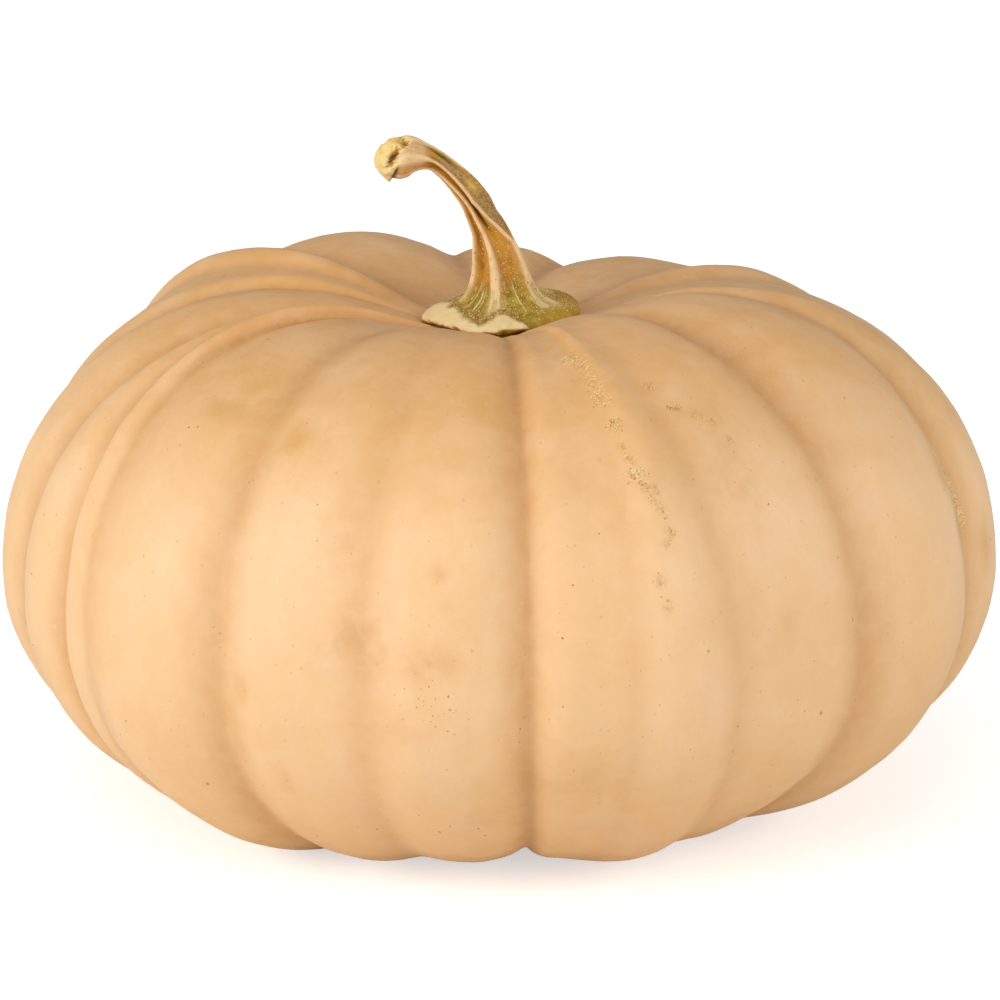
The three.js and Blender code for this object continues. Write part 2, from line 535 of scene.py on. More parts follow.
class Effects:
    """Shader node groups that several finishes share, each built once."""

    _made: dict[str, bpy.types.NodeTree] = {}

    @classmethod
    def _start(
        cls, title: str, numbers: dict[str, float]
    ) -> tuple[bpy.types.NodeTree, Wiring, dict[str, Term]]:
        """Starts a group with a Vector input, named numbers and a Mask output.

        Args:
            title: the group's name.
            numbers: its named inputs and their first values.

        Returns:
            The group, its wiring and its inputs by name.
        """
        tree = bpy.data.node_groups.new(title, "ShaderNodeTree")
        tree.interface.new_socket("Vector", in_out="INPUT", socket_type="NodeSocketVector")
        for name, value in numbers.items():
            socket = tree.interface.new_socket(name, in_out="INPUT", socket_type="NodeSocketFloat")
            socket.default_value = value
        tree.interface.new_socket("Mask", in_out="OUTPUT", socket_type="NodeSocketFloat")
        wiring = Wiring(tree)
        entry = tree.nodes.new("NodeGroupInput")
        return tree, wiring, {name: Term(wiring, entry.outputs[name]) for name in ("Vector", *numbers)}

    @classmethod
    def _finish(cls, tree: bpy.types.NodeTree, wiring: Wiring, mask: Term) -> None:
        """Gives the mask out of the group."""
        wiring.plug(tree.nodes.new("NodeGroupOutput").inputs["Mask"], mask)
        cls._made[tree.name] = tree

    @classmethod
    def patches(cls) -> bpy.types.NodeTree:
        """Soft irregular patches: Level is how much stays bare, Softness the width of their edge.

        Returns:
            The group.
        """
        if "soft patches" not in cls._made:
            tree, wiring, take = cls._start("soft patches", {"Scale": 20.0, "Level": 0.5, "Softness": 0.2})
            broad = wiring.cloud(take["Vector"], take["Scale"], 4.0, 0.6)
            mask = wiring.rise(broad, take["Level"] - take["Softness"], take["Level"] + take["Softness"])
            cls._finish(tree, wiring, mask)
        return cls._made["soft patches"]

    @classmethod
    def dots(cls) -> bpy.types.NodeTree:
        """Scattered round dots: Share is how many cells hold one, Size its radius against the cell.

        Returns:
            The group.
        """
        if "scattered dots" not in cls._made:
            tree, wiring, take = cls._start("scattered dots", {"Scale": 200.0, "Share": 0.2, "Size": 0.25})
            cell = wiring.node("ShaderNodeTexVoronoi", {"Vector": take["Vector"], "Scale": take["Scale"]})
            pick = wiring.node("ShaderNodeSeparateColor", {0: cell.also("Color")})
            kept = wiring.math("LESS_THAN", pick, take["Share"])
            size = take["Size"] * (0.4 + 0.6 * pick.also(1))
            dot = wiring.rise(cell, size, size * 0.45)
            cls._finish(tree, wiring, dot * kept)
        return cls._made["scattered dots"]

    @classmethod
    def grain(cls) -> bpy.types.NodeTree:
        """Fine relief of two sizes: Coarse is the share of the larger one.

        Returns:
            The group.
        """
        if "fine grain" not in cls._made:
            tree, wiring, take = cls._start("fine grain", {"Scale": 400.0, "Coarse": 0.6})
            large = wiring.cloud(take["Vector"], take["Scale"], 3.0)
            small = wiring.cloud(take["Vector"], take["Scale"] * 4.0, 2.0)
            cls._finish(tree, wiring, wiring.blend(take["Coarse"], small, large))
        return cls._made["fine grain"]


class Dresser:
    """Builds one material: a Principled shader, its coordinates and the shared effects."""

    def __init__(self, name: str) -> None:
        """Starts the material.

        Args:
            name: the material's name.
        """
        self.material = bpy.data.materials.new(name)
        self.material.use_nodes = True
        self.wiring = Wiring(self.material.node_tree)
        self.shader = self.material.node_tree.nodes["Principled BSDF"]
        self.place = self.wiring.node("ShaderNodeTexCoord", output="Object")

    def effect(self, group: bpy.types.NodeTree, vector: Term, **numbers: float) -> Term:
        """Places a shared effect with this material's own values.

        Args:
            group: the effect.
            vector: the place that it reads.
            numbers: values for its named inputs.

        Returns:
            The effect's mask.
        """
        made = self.wiring.tree.nodes.new("ShaderNodeGroup")
        made.node_tree = group
        self.wiring.plug(made.inputs["Vector"], vector)
        for name, value in numbers.items():
            self.wiring.plug(made.inputs[name], value)
        return Term(self.wiring, made.outputs["Mask"])

    def attribute(self, name: str, output: str = "Fac") -> Term:
        """An attribute of the piece."""
        return self.wiring.node("ShaderNodeAttribute", output=output, attribute_name=name)

    def set(self, **values: Value) -> None:
        """Sets the shader's sockets, named with underscores for spaces.

        Args:
            values: output or plain value for each socket.
        """
        for name, value in values.items():
            self.wiring.plug(self.shader.inputs[name.replace("_", " ")], value)

    def bump(self, height: Term, depth: float) -> Term:
        """Normal of a relief whose full height is depth millimetres."""
        inputs = {"Height": height, "Distance": depth * MILLIMETRE, "Strength": 1.0}
        return self.wiring.node("ShaderNodeBump", inputs)


@dataclass(frozen=True)
class SkinFinish:
    """Waxy tan rind, mottled, with ochre and dusky stains, a pale bloom and pores; painted shade darkens the
    furrows, the hollow round the stem and, in a few dusky marks, the crown by the stem, and tints the
    underside.
    """

    light: tuple = paint(248, 208, 162)
    warm: tuple = paint(236, 188, 130)
    furrow: tuple = paint(203, 146, 84)
    crown: tuple = paint(222, 163, 89)
    seat: tuple = paint(188, 128, 66)
    base: tuple = paint(240, 189, 122)
    ochre: tuple = paint(214, 158, 78)
    dusk_and_shadow: tuple = paint(208, 154, 96)
    bloom: tuple = paint(251, 216, 178)
    pore: tuple = paint(186, 130, 72)
    scab: tuple = paint(216, 160, 84)
    cork: tuple = paint(196, 160, 112)

    def material(self) -> bpy.types.Material:
        """Builds the material.

        Returns:
            The skin's material, which reads the piece's own attributes.
        """
        made = Dresser("waxy tan rind")
        wiring, place = made.wiring, made.place
        run = made.attribute("run", "Vector")
        # Broad tones from the crown to the underside, and painted shade in the stem's hollow
        broad = made.effect(Effects.patches(), place, Scale=11.0, Level=0.5, Softness=0.28)
        streak = made.effect(Effects.patches(), run, Scale=9.0, Level=0.5, Softness=0.3)
        cloudy = made.effect(Effects.patches(), place, Scale=48.0, Level=0.56, Softness=0.16)
        pinkish = made.effect(Effects.patches(), place, Scale=85.0, Level=0.6, Softness=0.12)
        colour = wiring.tint(broad * 0.6 + streak * 0.4, self.light, self.warm)
        colour = wiring.tint(made.attribute("height") * 0.8, colour, self.crown)
        # Painted shade: the skin darkens towards the hollow round the stem
        colour = wiring.tint(made.attribute("seat") * 0.16, colour, self.seat)
        # Painted shade: a deeper, more saturated tint towards the underside
        colour = wiring.tint(made.attribute("underside") * 0.7, colour, self.base)
        colour = wiring.tint(cloudy * 0.22, colour, self.bloom)
        colour = wiring.tint((0.3 + 0.7 * pinkish) * made.attribute("bloom") * 0.6, colour, self.bloom)
        # Painted shade in the furrows, stronger near the crown, and the stains
        shaded = made.attribute("furrow") * (0.62 + made.attribute("height") * 0.22)
        colour = wiring.tint(shaded, colour, self.furrow)
        smudge = made.effect(Effects.patches(), place, Scale=70.0, Level=0.42, Softness=0.3)
        colour = wiring.tint(made.attribute("ochre") * (0.45 + 0.55 * smudge), colour, self.ochre)
        ragged = made.effect(Effects.patches(), place, Scale=140.0, Level=0.46, Softness=0.2)
        # Dusky stains, and painted shadow of the stem on the skin near the crown
        colour = wiring.tint(made.attribute("dusk_and_shadow") * (0.15 + 0.85 * ragged), colour, self.dusk_and_shadow)
        rare = made.effect(Effects.patches(), place, Scale=26.0, Level=0.68, Softness=0.09)
        colour = wiring.tint(rare * 0.3, colour, self.ochre)
        # Fine mottling
        blotch = made.effect(Effects.patches(), place, Scale=150.0, Level=0.5, Softness=0.16)
        stroke = made.effect(Effects.patches(), run, Scale=110.0, Level=0.5, Softness=0.2)
        fine = made.effect(Effects.grain(), place, Scale=650.0, Coarse=0.5)
        colour = wiring.tint(blotch * 0.13, colour, self.bloom)
        colour = wiring.tint(stroke * 0.14 + wiring.rise(fine, 0.5, 0.66) * 0.2, colour, self.warm)
        # Pores, specks and pale dots
        dots = made.effect(Effects.dots(), place, Scale=120.0, Share=0.1, Size=0.1)
        tiny = made.effect(Effects.dots(), place, Scale=420.0, Share=0.14, Size=0.26)
        pale = made.effect(Effects.dots(), place, Scale=300.0, Share=0.16, Size=0.3)
        colour = wiring.tint(pale * 0.12, colour, self.bloom)
        colour = wiring.tint(tiny * 0.22, colour, self.pore)
        colour = wiring.tint(dots * 0.7, colour, self.pore)
        # Skin round the corky scar, and the cork of the blossom end
        crumbs = made.effect(Effects.patches(), place, Scale=1100.0, Level=0.52, Softness=0.08)
        flecks = wiring.rise(made.attribute("scar") * (0.2 + crumbs), 0.3, 0.9)
        colour = wiring.tint(made.attribute("scar") * 0.16 + flecks * 0.34, colour, self.scab)
        colour = wiring.tint(made.attribute("cork"), colour, self.cork)
        grain = made.effect(Effects.grain(), place, Scale=500.0, Coarse=0.7)
        swell = made.effect(Effects.grain(), place, Scale=110.0, Coarse=0.8)
        relief = grain * 0.35 + swell - tiny * 0.5 - dots * 0.6 + flecks * 0.5
        shine = wiring.rise(broad * 0.5 + cloudy * 0.3 + grain * 0.2, 0.2, 0.8, 0.38, 0.52)
        made.set(
            Base_Color=colour, Roughness=shine + flecks * 0.25, Normal=made.bump(relief, 0.16),
            Subsurface_Weight=0.12, Subsurface_Radius=(0.006, 0.0028, 0.0012), Subsurface_Scale=1.0,
            Specular_IOR_Level=0.22,
        )
        return made.material


@dataclass(frozen=True)
class StemFinish:
    """Dry stem: cream ridges, orange-brown channels, an olive foot, cream cork, and painted shade in its
    crevices and pits.
    """

    ridge: tuple = paint(241, 208, 158)
    ridge_shade: tuple = paint(200, 150, 88)
    channel: tuple = paint(208, 148, 48)
    channel_dark: tuple = paint(146, 92, 22)
    grey: tuple = paint(190, 158, 104)
    grey_deep: tuple = paint(124, 92, 48)
    amber: tuple = paint(226, 186, 84)
    olive: tuple = paint(190, 162, 62)
    olive_deep: tuple = paint(140, 112, 26)
    lobe: tuple = paint(192, 146, 32)
    rust: tuple = paint(150, 102, 42)
    vein: tuple = paint(228, 208, 150)
    cork: tuple = paint(246, 220, 166)
    cork_yellow: tuple = paint(242, 202, 116)
    cork_deep: tuple = paint(172, 118, 40)
    moss: tuple = paint(70, 78, 22)
    dark: tuple = paint(70, 42, 16)

    def material(self) -> bpy.types.Material:
        """Builds the material.

        Returns:
            The stem's material, which reads the piece's own attributes.
        """
        made = Dresser("dry stem")
        wiring, place = made.wiring, made.place
        grain = made.attribute("grain", "Vector")
        fibre = made.effect(Effects.grain(), grain, Scale=6.0, Coarse=0.6)
        streak = made.effect(Effects.patches(), grain, Scale=2.4, Level=0.5, Softness=0.16)
        mottle = made.effect(Effects.patches(), place, Scale=330.0, Level=0.5, Softness=0.2)
        gritty = made.effect(Effects.patches(), place, Scale=1100.0, Level=0.5, Softness=0.16)
        flecks = made.effect(Effects.dots(), place, Scale=1300.0, Share=0.3, Size=0.34)
        # Channels, with the grey skin of the upper side and the amber spot
        channel = wiring.tint(streak * 0.9, self.channel, self.channel_dark)
        channel = wiring.tint(wiring.rise(fibre, 0.5, 0.72) * 0.5, channel, self.ridge_shade)
        greyed = wiring.tint(gritty * 0.7, self.grey, self.grey_deep)
        channel = wiring.tint(made.attribute("grey"), channel, greyed)
        channel = wiring.tint(made.attribute("amber") * 0.9, channel, self.amber)
        # Pale ridges over them
        ridge = wiring.tint(wiring.rise(fibre, 0.52, 0.7) * 0.55 + mottle * 0.2, self.ridge, self.ridge_shade)
        edge = made.attribute("crest") - made.attribute("fading") * 0.7 + (fibre - 0.5) * 0.4
        colour = wiring.tint(wiring.rise(edge, 0.36, 0.66), channel, self.ridge_shade)
        colour = wiring.tint(wiring.rise(edge, 0.6, 0.9), colour, ridge)
        # Olive foot with its veins, rust, grit and moss
        olive = wiring.tint(mottle, self.olive, self.olive_deep)
        veins = wiring.rise(made.attribute("vein") + (gritty - 0.5) * 0.3, 0.4, 0.75)
        olive = wiring.tint(made.attribute("lobe") * 0.8, olive, self.lobe)
        olive = wiring.tint(veins * 0.85, olive, self.vein)
        colour = wiring.tint(made.attribute("olive"), colour, olive)
        rusty = wiring.rise(made.attribute("rust") * (0.35 + gritty), 0.35, 0.8)
        colour = wiring.tint(rusty * 0.8, colour, self.rust)
        colour = wiring.tint(flecks * made.attribute("grit") * 0.8, colour, self.ridge)
        colour = wiring.tint(made.attribute("moss"), colour, self.moss)
        # Cork of the foot's lip and the cut end
        cork = wiring.tint(mottle * 0.3 + made.attribute("yellowed") * 0.6, self.cork, self.cork_yellow)
        sunken = wiring.rise(made.attribute("hollows") + (gritty - 0.5) * 0.4, 0.2, 0.8)
        cork = wiring.tint(sunken * 0.9, cork, self.cork_deep)
        colour = wiring.tint(made.attribute("callus"), colour, cork)
        # Painted shade in the crevice under the callus, in the pits and in a pinched channel
        colour = wiring.tint(made.attribute("dark"), colour, self.dark)
        relief = fibre * 0.8 + gritty * 0.3 + mottle * 0.3 - rusty * 0.4
        made.set(
            Base_Color=colour, Roughness=0.64 + gritty * 0.2 - made.attribute("olive") * 0.12,
            Normal=made.bump(relief, 0.2), Specular_IOR_Level=0.24,
        )
        return made.material


@dataclass(frozen=True)
class CrumbFinish:
    """Small corky or gritty pieces: one colour that varies from crumb to crumb."""

    name: str
    pale: tuple
    deep: tuple
    size: float
    roughness: float = 0.8

    def material(self) -> bpy.types.Material:
        """Builds the material.

        Returns:
            The material, which reads only the piece's own place.
        """
        made = Dresser(self.name)
        patch = made.effect(Effects.patches(), made.place, Scale=self.size, Level=0.5, Softness=0.2)
        grain = made.effect(Effects.grain(), made.place, Scale=1400.0, Coarse=0.5)
        colour = made.wiring.tint(patch, self.pale, self.deep)
        made.set(Base_Color=colour, Roughness=self.roughness, Normal=made.bump(grain, 0.06))
        return made.material


CREAM_GRIT = CrumbFinish("cream grit", paint(236, 216, 160), paint(206, 168, 96), 700.0)
RUSTY_GRIT = CrumbFinish("rusty grit", paint(186, 134, 62), paint(138, 92, 38), 700.0)
PALE_CORK = CrumbFinish("pale scar cork", paint(250, 228, 176), paint(232, 196, 126), 900.0)
OCHRE_CORK = CrumbFinish("ochre scar cork", paint(228, 178, 100), paint(210, 152, 72), 900.0)
BROWN_HOLES = CrumbFinish("brown scar holes", paint(222, 164, 72), paint(196, 134, 50), 900.0)
BROWN_SPECKS = CrumbFinish("brown specks", paint(200, 142, 76), paint(160, 106, 52), 300.0)
WHITISH_THREAD = CrumbFinish("whitish thread", paint(246, 226, 176), paint(226, 190, 120), 500.0)


@dataclass(frozen=True)
class Rib:
    """One rib, with the furrow at its left edge seen from outside; degrees and millimetres.

    The furrow lies at azimuth round the waist, shifts sideways by lead at the crown and by trail at the
    base, and is cut so deep at the crown, the waist and the base. The rib stands out past the waist's radius
    by reach, and its crown and its keel stand higher and deeper than the fruit's own.
    """

    azimuth: float
    lead: float
    trail: float
    cut: tuple[float, float, float]
    reach: float
    crown: float
    keel: float


@dataclass(frozen=True)
class Hollow:
    """Hollow at an end of the fruit: depth in millimetres, width as a share of the waist's radius."""

    depth: float
    width: float


@dataclass(frozen=True)
class Mark:
    """Soft stain of the skin, and for a few dusky marks painted shadow: place in ribs, drop from the crown in
    degrees, half sizes in millimetres.
    """

    kind: MarkKind
    place: float
    drop: float
    across: float
    down: float
    strength: float


RIBS = (
    Rib(-174, 5.5, 0, (7, 5, 4), 3, 2, 0),
    Rib(-137, 20, 0, (6.5, 5, 3), 4, 5, 0),
    Rib(-121, 16.5, 0, (1, 3, 4), -1.5, 0.5, 0),
    Rib(-92, -4.3, 0, (2.5, 3.5, 4), 2, 0, -4),
    Rib(-73, 5, 1.5, (3.7, 3, 4), 0.5, -0.6, 0),
    Rib(-61, -4, -4.5, (1, 4.5, 2.5), -2, 2.2, 3),
    Rib(-54, -8, -4, (4, 1.8, 3), 2.5, -0.7, 2),
    Rib(-33, -3.5, 3, (2, 3.5, 4), -3.5, 0.5, 1),
    Rib(-15.5, -1.5, 2.5, (0, 2, 1.5), -1, 0, -2),
    Rib(3.5, 0, 3, (3, 5, 3.5), -1.5, -0.5, -3),
    Rib(15, 0, 0, (0, 0.7, 0), 1.5, 3, -0.5),
    Rib(27.5, -9, 3, (0.5, 1.5, 1.5), -4, 5.2, -2.5),
    Rib(46.5, -4, -4, (4, 4, 3), 2.5, 5.6, -2.5),
    Rib(72.5, 6.5, 1, (1, 6, 2.5), 3, 2.8, -4),
    Rib(96, -10.7, 1, (1, 2.5, 4), 3.5, -3, 0),
    Rib(120, -7.5, 0, (1.7, 2.5, 4), 2, -2.4, 0),
    Rib(137.5, -12, 0, (2.5, 2.5, 4), 2, -7.3, 0),
    Rib(164.5, 3.3, 0, (6, 5, 4), 0, -6, 0),
)

MARKS = (
    Mark(MarkKind.OCHRE, 6.62, 50, 6, 5, 0.9),
    Mark(MarkKind.OCHRE, 6.68, 44, 8, 5, 0.6),
    Mark(MarkKind.OCHRE, 7.27, 53, 4, 5, 0.85),
    Mark(MarkKind.OCHRE, 7.18, 91, 2.2, 5, 0.4),
    Mark(MarkKind.OCHRE, 7.1, 99, 2.2, 7, 0.4),
    Mark(MarkKind.OCHRE, 7.4, 108, 2.2, 6, 0.35),
    Mark(MarkKind.OCHRE, 6.88, 130, 7, 4, 0.45),
    Mark(MarkKind.OCHRE, 12.8, 70, 4, 9, 1.0),
    Mark(MarkKind.OCHRE, 12.85, 79, 3, 9, 0.9),
    Mark(MarkKind.OCHRE, 13.24, 85, 4, 8, 0.8),
    Mark(MarkKind.OCHRE, 11.3, 51, 7, 4, 0.3),
    Mark(MarkKind.OCHRE, 10.2, 42, 3, 22, 0.25),
    Mark(MarkKind.OCHRE, 9.6, 104, 12, 7, 0.3),
    Mark(MarkKind.OCHRE, 8.6, 78, 10, 12, 0.2),
    Mark(MarkKind.OCHRE, 1.6, 74, 9, 12, 0.4),
    Mark(MarkKind.OCHRE, 3.4, 97, 5, 10, 0.35),
    Mark(MarkKind.OCHRE, 15.4, 60, 9, 7, 0.35),
    Mark(MarkKind.OCHRE, 13.45, 63, 12, 16, 0.35),
    Mark(MarkKind.OCHRE, 13.0, 70, 8, 18, 0.25),
    Mark(MarkKind.OCHRE, 8.47, 71.7, 2.6, 2.6, 0.5),
    Mark(MarkKind.OCHRE, 13.7, 52, 16, 18, 0.35),
    Mark(MarkKind.DUSK_AND_SHADOW, 8.0, 82, 8, 11, 0.6),
    Mark(MarkKind.DUSK_AND_SHADOW, 7.85, 84, 8, 7, 0.4),
    Mark(MarkKind.DUSK_AND_SHADOW, 8.42, 84.5, 9, 6, 0.55),
    Mark(MarkKind.DUSK_AND_SHADOW, 8.3, 95, 12, 6, 0.3),
    Mark(MarkKind.DUSK_AND_SHADOW, 7.87, 68, 6, 14, 0.35),
    Mark(MarkKind.DUSK_AND_SHADOW, 6.75, 49, 7, 5, 0.3),
    Mark(MarkKind.DUSK_AND_SHADOW, 11.3, 60, 8, 18, 0.3),
    Mark(MarkKind.DUSK_AND_SHADOW, 16.5, 88, 8, 10, 0.4),
    # Painted shadow: these three dusky marks by the crown darken the skin where the stem's shadow and the
    # hollow's shade fall
    Mark(MarkKind.DUSK_AND_SHADOW, 16.43, 20, 20, 18, 0.6),
    Mark(MarkKind.DUSK_AND_SHADOW, 15.3, 17, 16, 16, 0.5),
    Mark(MarkKind.DUSK_AND_SHADOW, 7.1, 21, 14, 8, 0.6),
    Mark(MarkKind.DUSK_AND_SHADOW, 0.6, 96, 7, 9, 0.35),
    Mark(MarkKind.BLOOM, 6.7, 86, 15, 20, 0.8),
    Mark(MarkKind.BLOOM, 7.75, 86, 12, 16, 0.4),
    Mark(MarkKind.BLOOM, 10.43, 73, 5, 6, 1.0),
    Mark(MarkKind.BLOOM, 10.35, 90, 14, 16, 0.7),
    Mark(MarkKind.BLOOM, 7.7, 84, 9, 5, 0.7),
    Mark(MarkKind.BLOOM, 7.5, 66, 12, 22, 0.7),
    Mark(MarkKind.BLOOM, 11.75, 73, 12, 18, 0.35),
    Mark(MarkKind.BLOOM, 5.57, 49, 9, 12, 0.6),
    Mark(MarkKind.BLOOM, 5.4, 107, 4, 5, 0.9),
    Mark(MarkKind.BLOOM, 2.4, 80, 14, 16, 0.6),
    Mark(MarkKind.BLOOM, 14.6, 84, 12, 18, 0.6),
)


@dataclass(frozen=True)
class Clump:
    """Where crumbs or specks lie close together on the skin.

    Place is in ribs, drop in degrees, the half sizes in millimetres and slant in degrees, clockwise.
    """

    place: float
    drop: float
    across: float
    down: float
    count: int
    slant: float = 0.0


SCARS = (
    Clump(10.0, 34.8, 1.6, 2.2, 34, -30), Clump(10.09, 36.6, 0.9, 1.8, 12, 25),
    Clump(10.07, 41.0, 1.2, 1.6, 20), Clump(10.12, 44.0, 2.1, 2.7, 60, -15),
    Clump(10.19, 49.6, 1.9, 2.2, 58), Clump(10.21, 53.5, 0.7, 1.5, 16), Clump(10.25, 55.6, 0.7, 1.7, 18),
    Clump(10.27, 57.9, 2.6, 2.0, 84, -20), Clump(10.33, 60.4, 0.6, 1.8, 14, -30),
    Clump(10.37, 62.2, 0.6, 1.5, 12, -20), Clump(10.44, 60.9, 0.5, 1.6, 10, -25),
    Clump(10.45, 64.3, 0.6, 2.4, 16), Clump(10.48, 67.4, 0.7, 1.9, 22), Clump(10.42, 68.9, 0.9, 0.6, 10),
    Clump(10.28, 74.0, 0.5, 2.6, 9), Clump(10.32, 77.5, 0.4, 2.2, 6), Clump(11.08, 44.5, 0.9, 0.8, 9),
    Clump(11.15, 49.3, 1.5, 0.5, 14, 20), Clump(11.27, 51.4, 1.0, 1.1, 8, -40),
    Clump(11.35, 53.2, 1.4, 1.0, 10, 30), Clump(11.39, 56.2, 1.0, 1.3, 8),
    Clump(12.91, 68.2, 0.5, 1.6, 12), Clump(12.97, 71.5, 0.4, 2.2, 14), Clump(13.02, 75.5, 0.4, 2.4, 14),
    Clump(5.35, 107.6, 0.8, 2.2, 24, 20), Clump(1.35, 58.0, 1.7, 2.4, 44),
    Clump(1.42, 63.0, 0.9, 2.8, 26), Clump(15.5, 81.0, 1.1, 3.0, 32),
)
PITS = (
    Clump(10.235, 58.3, 0.7, 0.7, 16), Clump(11.13, 49.1, 1.3, 0.35, 26, 22),
    Clump(10.16, 49.4, 0.5, 1.3, 10), Clump(10.3, 59.6, 0.9, 0.4, 8, 30),
    Clump(12.92, 68.4, 0.3, 0.8, 8),
)
SPECKS = (
    Clump(8.44, 90.6, 7.0, 3.2, 16), Clump(8.54, 92.3, 4.5, 2.4, 7), Clump(8.3, 85.0, 9.0, 7.0, 5),
    Clump(8.97, 91.0, 1.2, 15.0, 9), Clump(7.0, 82.0, 1.4, 9.0, 6), Clump(6.3, 104.0, 9.0, 9.0, 5),
    Clump(7.5, 66.0, 14.0, 20.0, 7), Clump(9.4, 80.0, 14.0, 30.0, 10), Clump(11.6, 76.0, 18.0, 30.0, 9),
    Clump(10.5, 98.0, 14.0, 20.0, 7), Clump(6.9, 55.0, 20.0, 14.0, 6), Clump(4.5, 80.0, 10.0, 26.0, 6),
    Clump(12.5, 56.0, 16.0, 16.0, 5), Clump(1.5, 84.0, 26.0, 26.0, 14), Clump(3.0, 90.0, 26.0, 26.0, 10),
    Clump(15.0, 88.0, 26.0, 26.0, 14), Clump(17.2, 92.0, 26.0, 26.0, 12),
    Clump(13.5, 92.0, 14.0, 26.0, 8), Clump(8.0, 118.0, 30.0, 12.0, 9), Clump(0.2, 64.0, 26.0, 20.0, 8),
)

# Paths of the fine threads, as places in ribs and drops in degrees
UPPER_TRAIL = ((9.98, 33.6), (10.04, 35.6), (10.12, 37.5), (10.08, 40.5), (10.11, 43.4), (10.15, 46))
MIDDLE_TRAIL = ((10.18, 48.6), (10.2, 50.6), (10.24, 55.5), (10.24, 57), (10.3, 58.8))
RING_TRAIL = ((10.24, 57.2), (10.3, 57.4), (10.31, 58.6), (10.26, 59.0), (10.25, 58.2))
CRACK_TRAIL = ((12.9, 67.3), (12.96, 71), (13.0, 74), (13.03, 77), (13.05, 79.7))


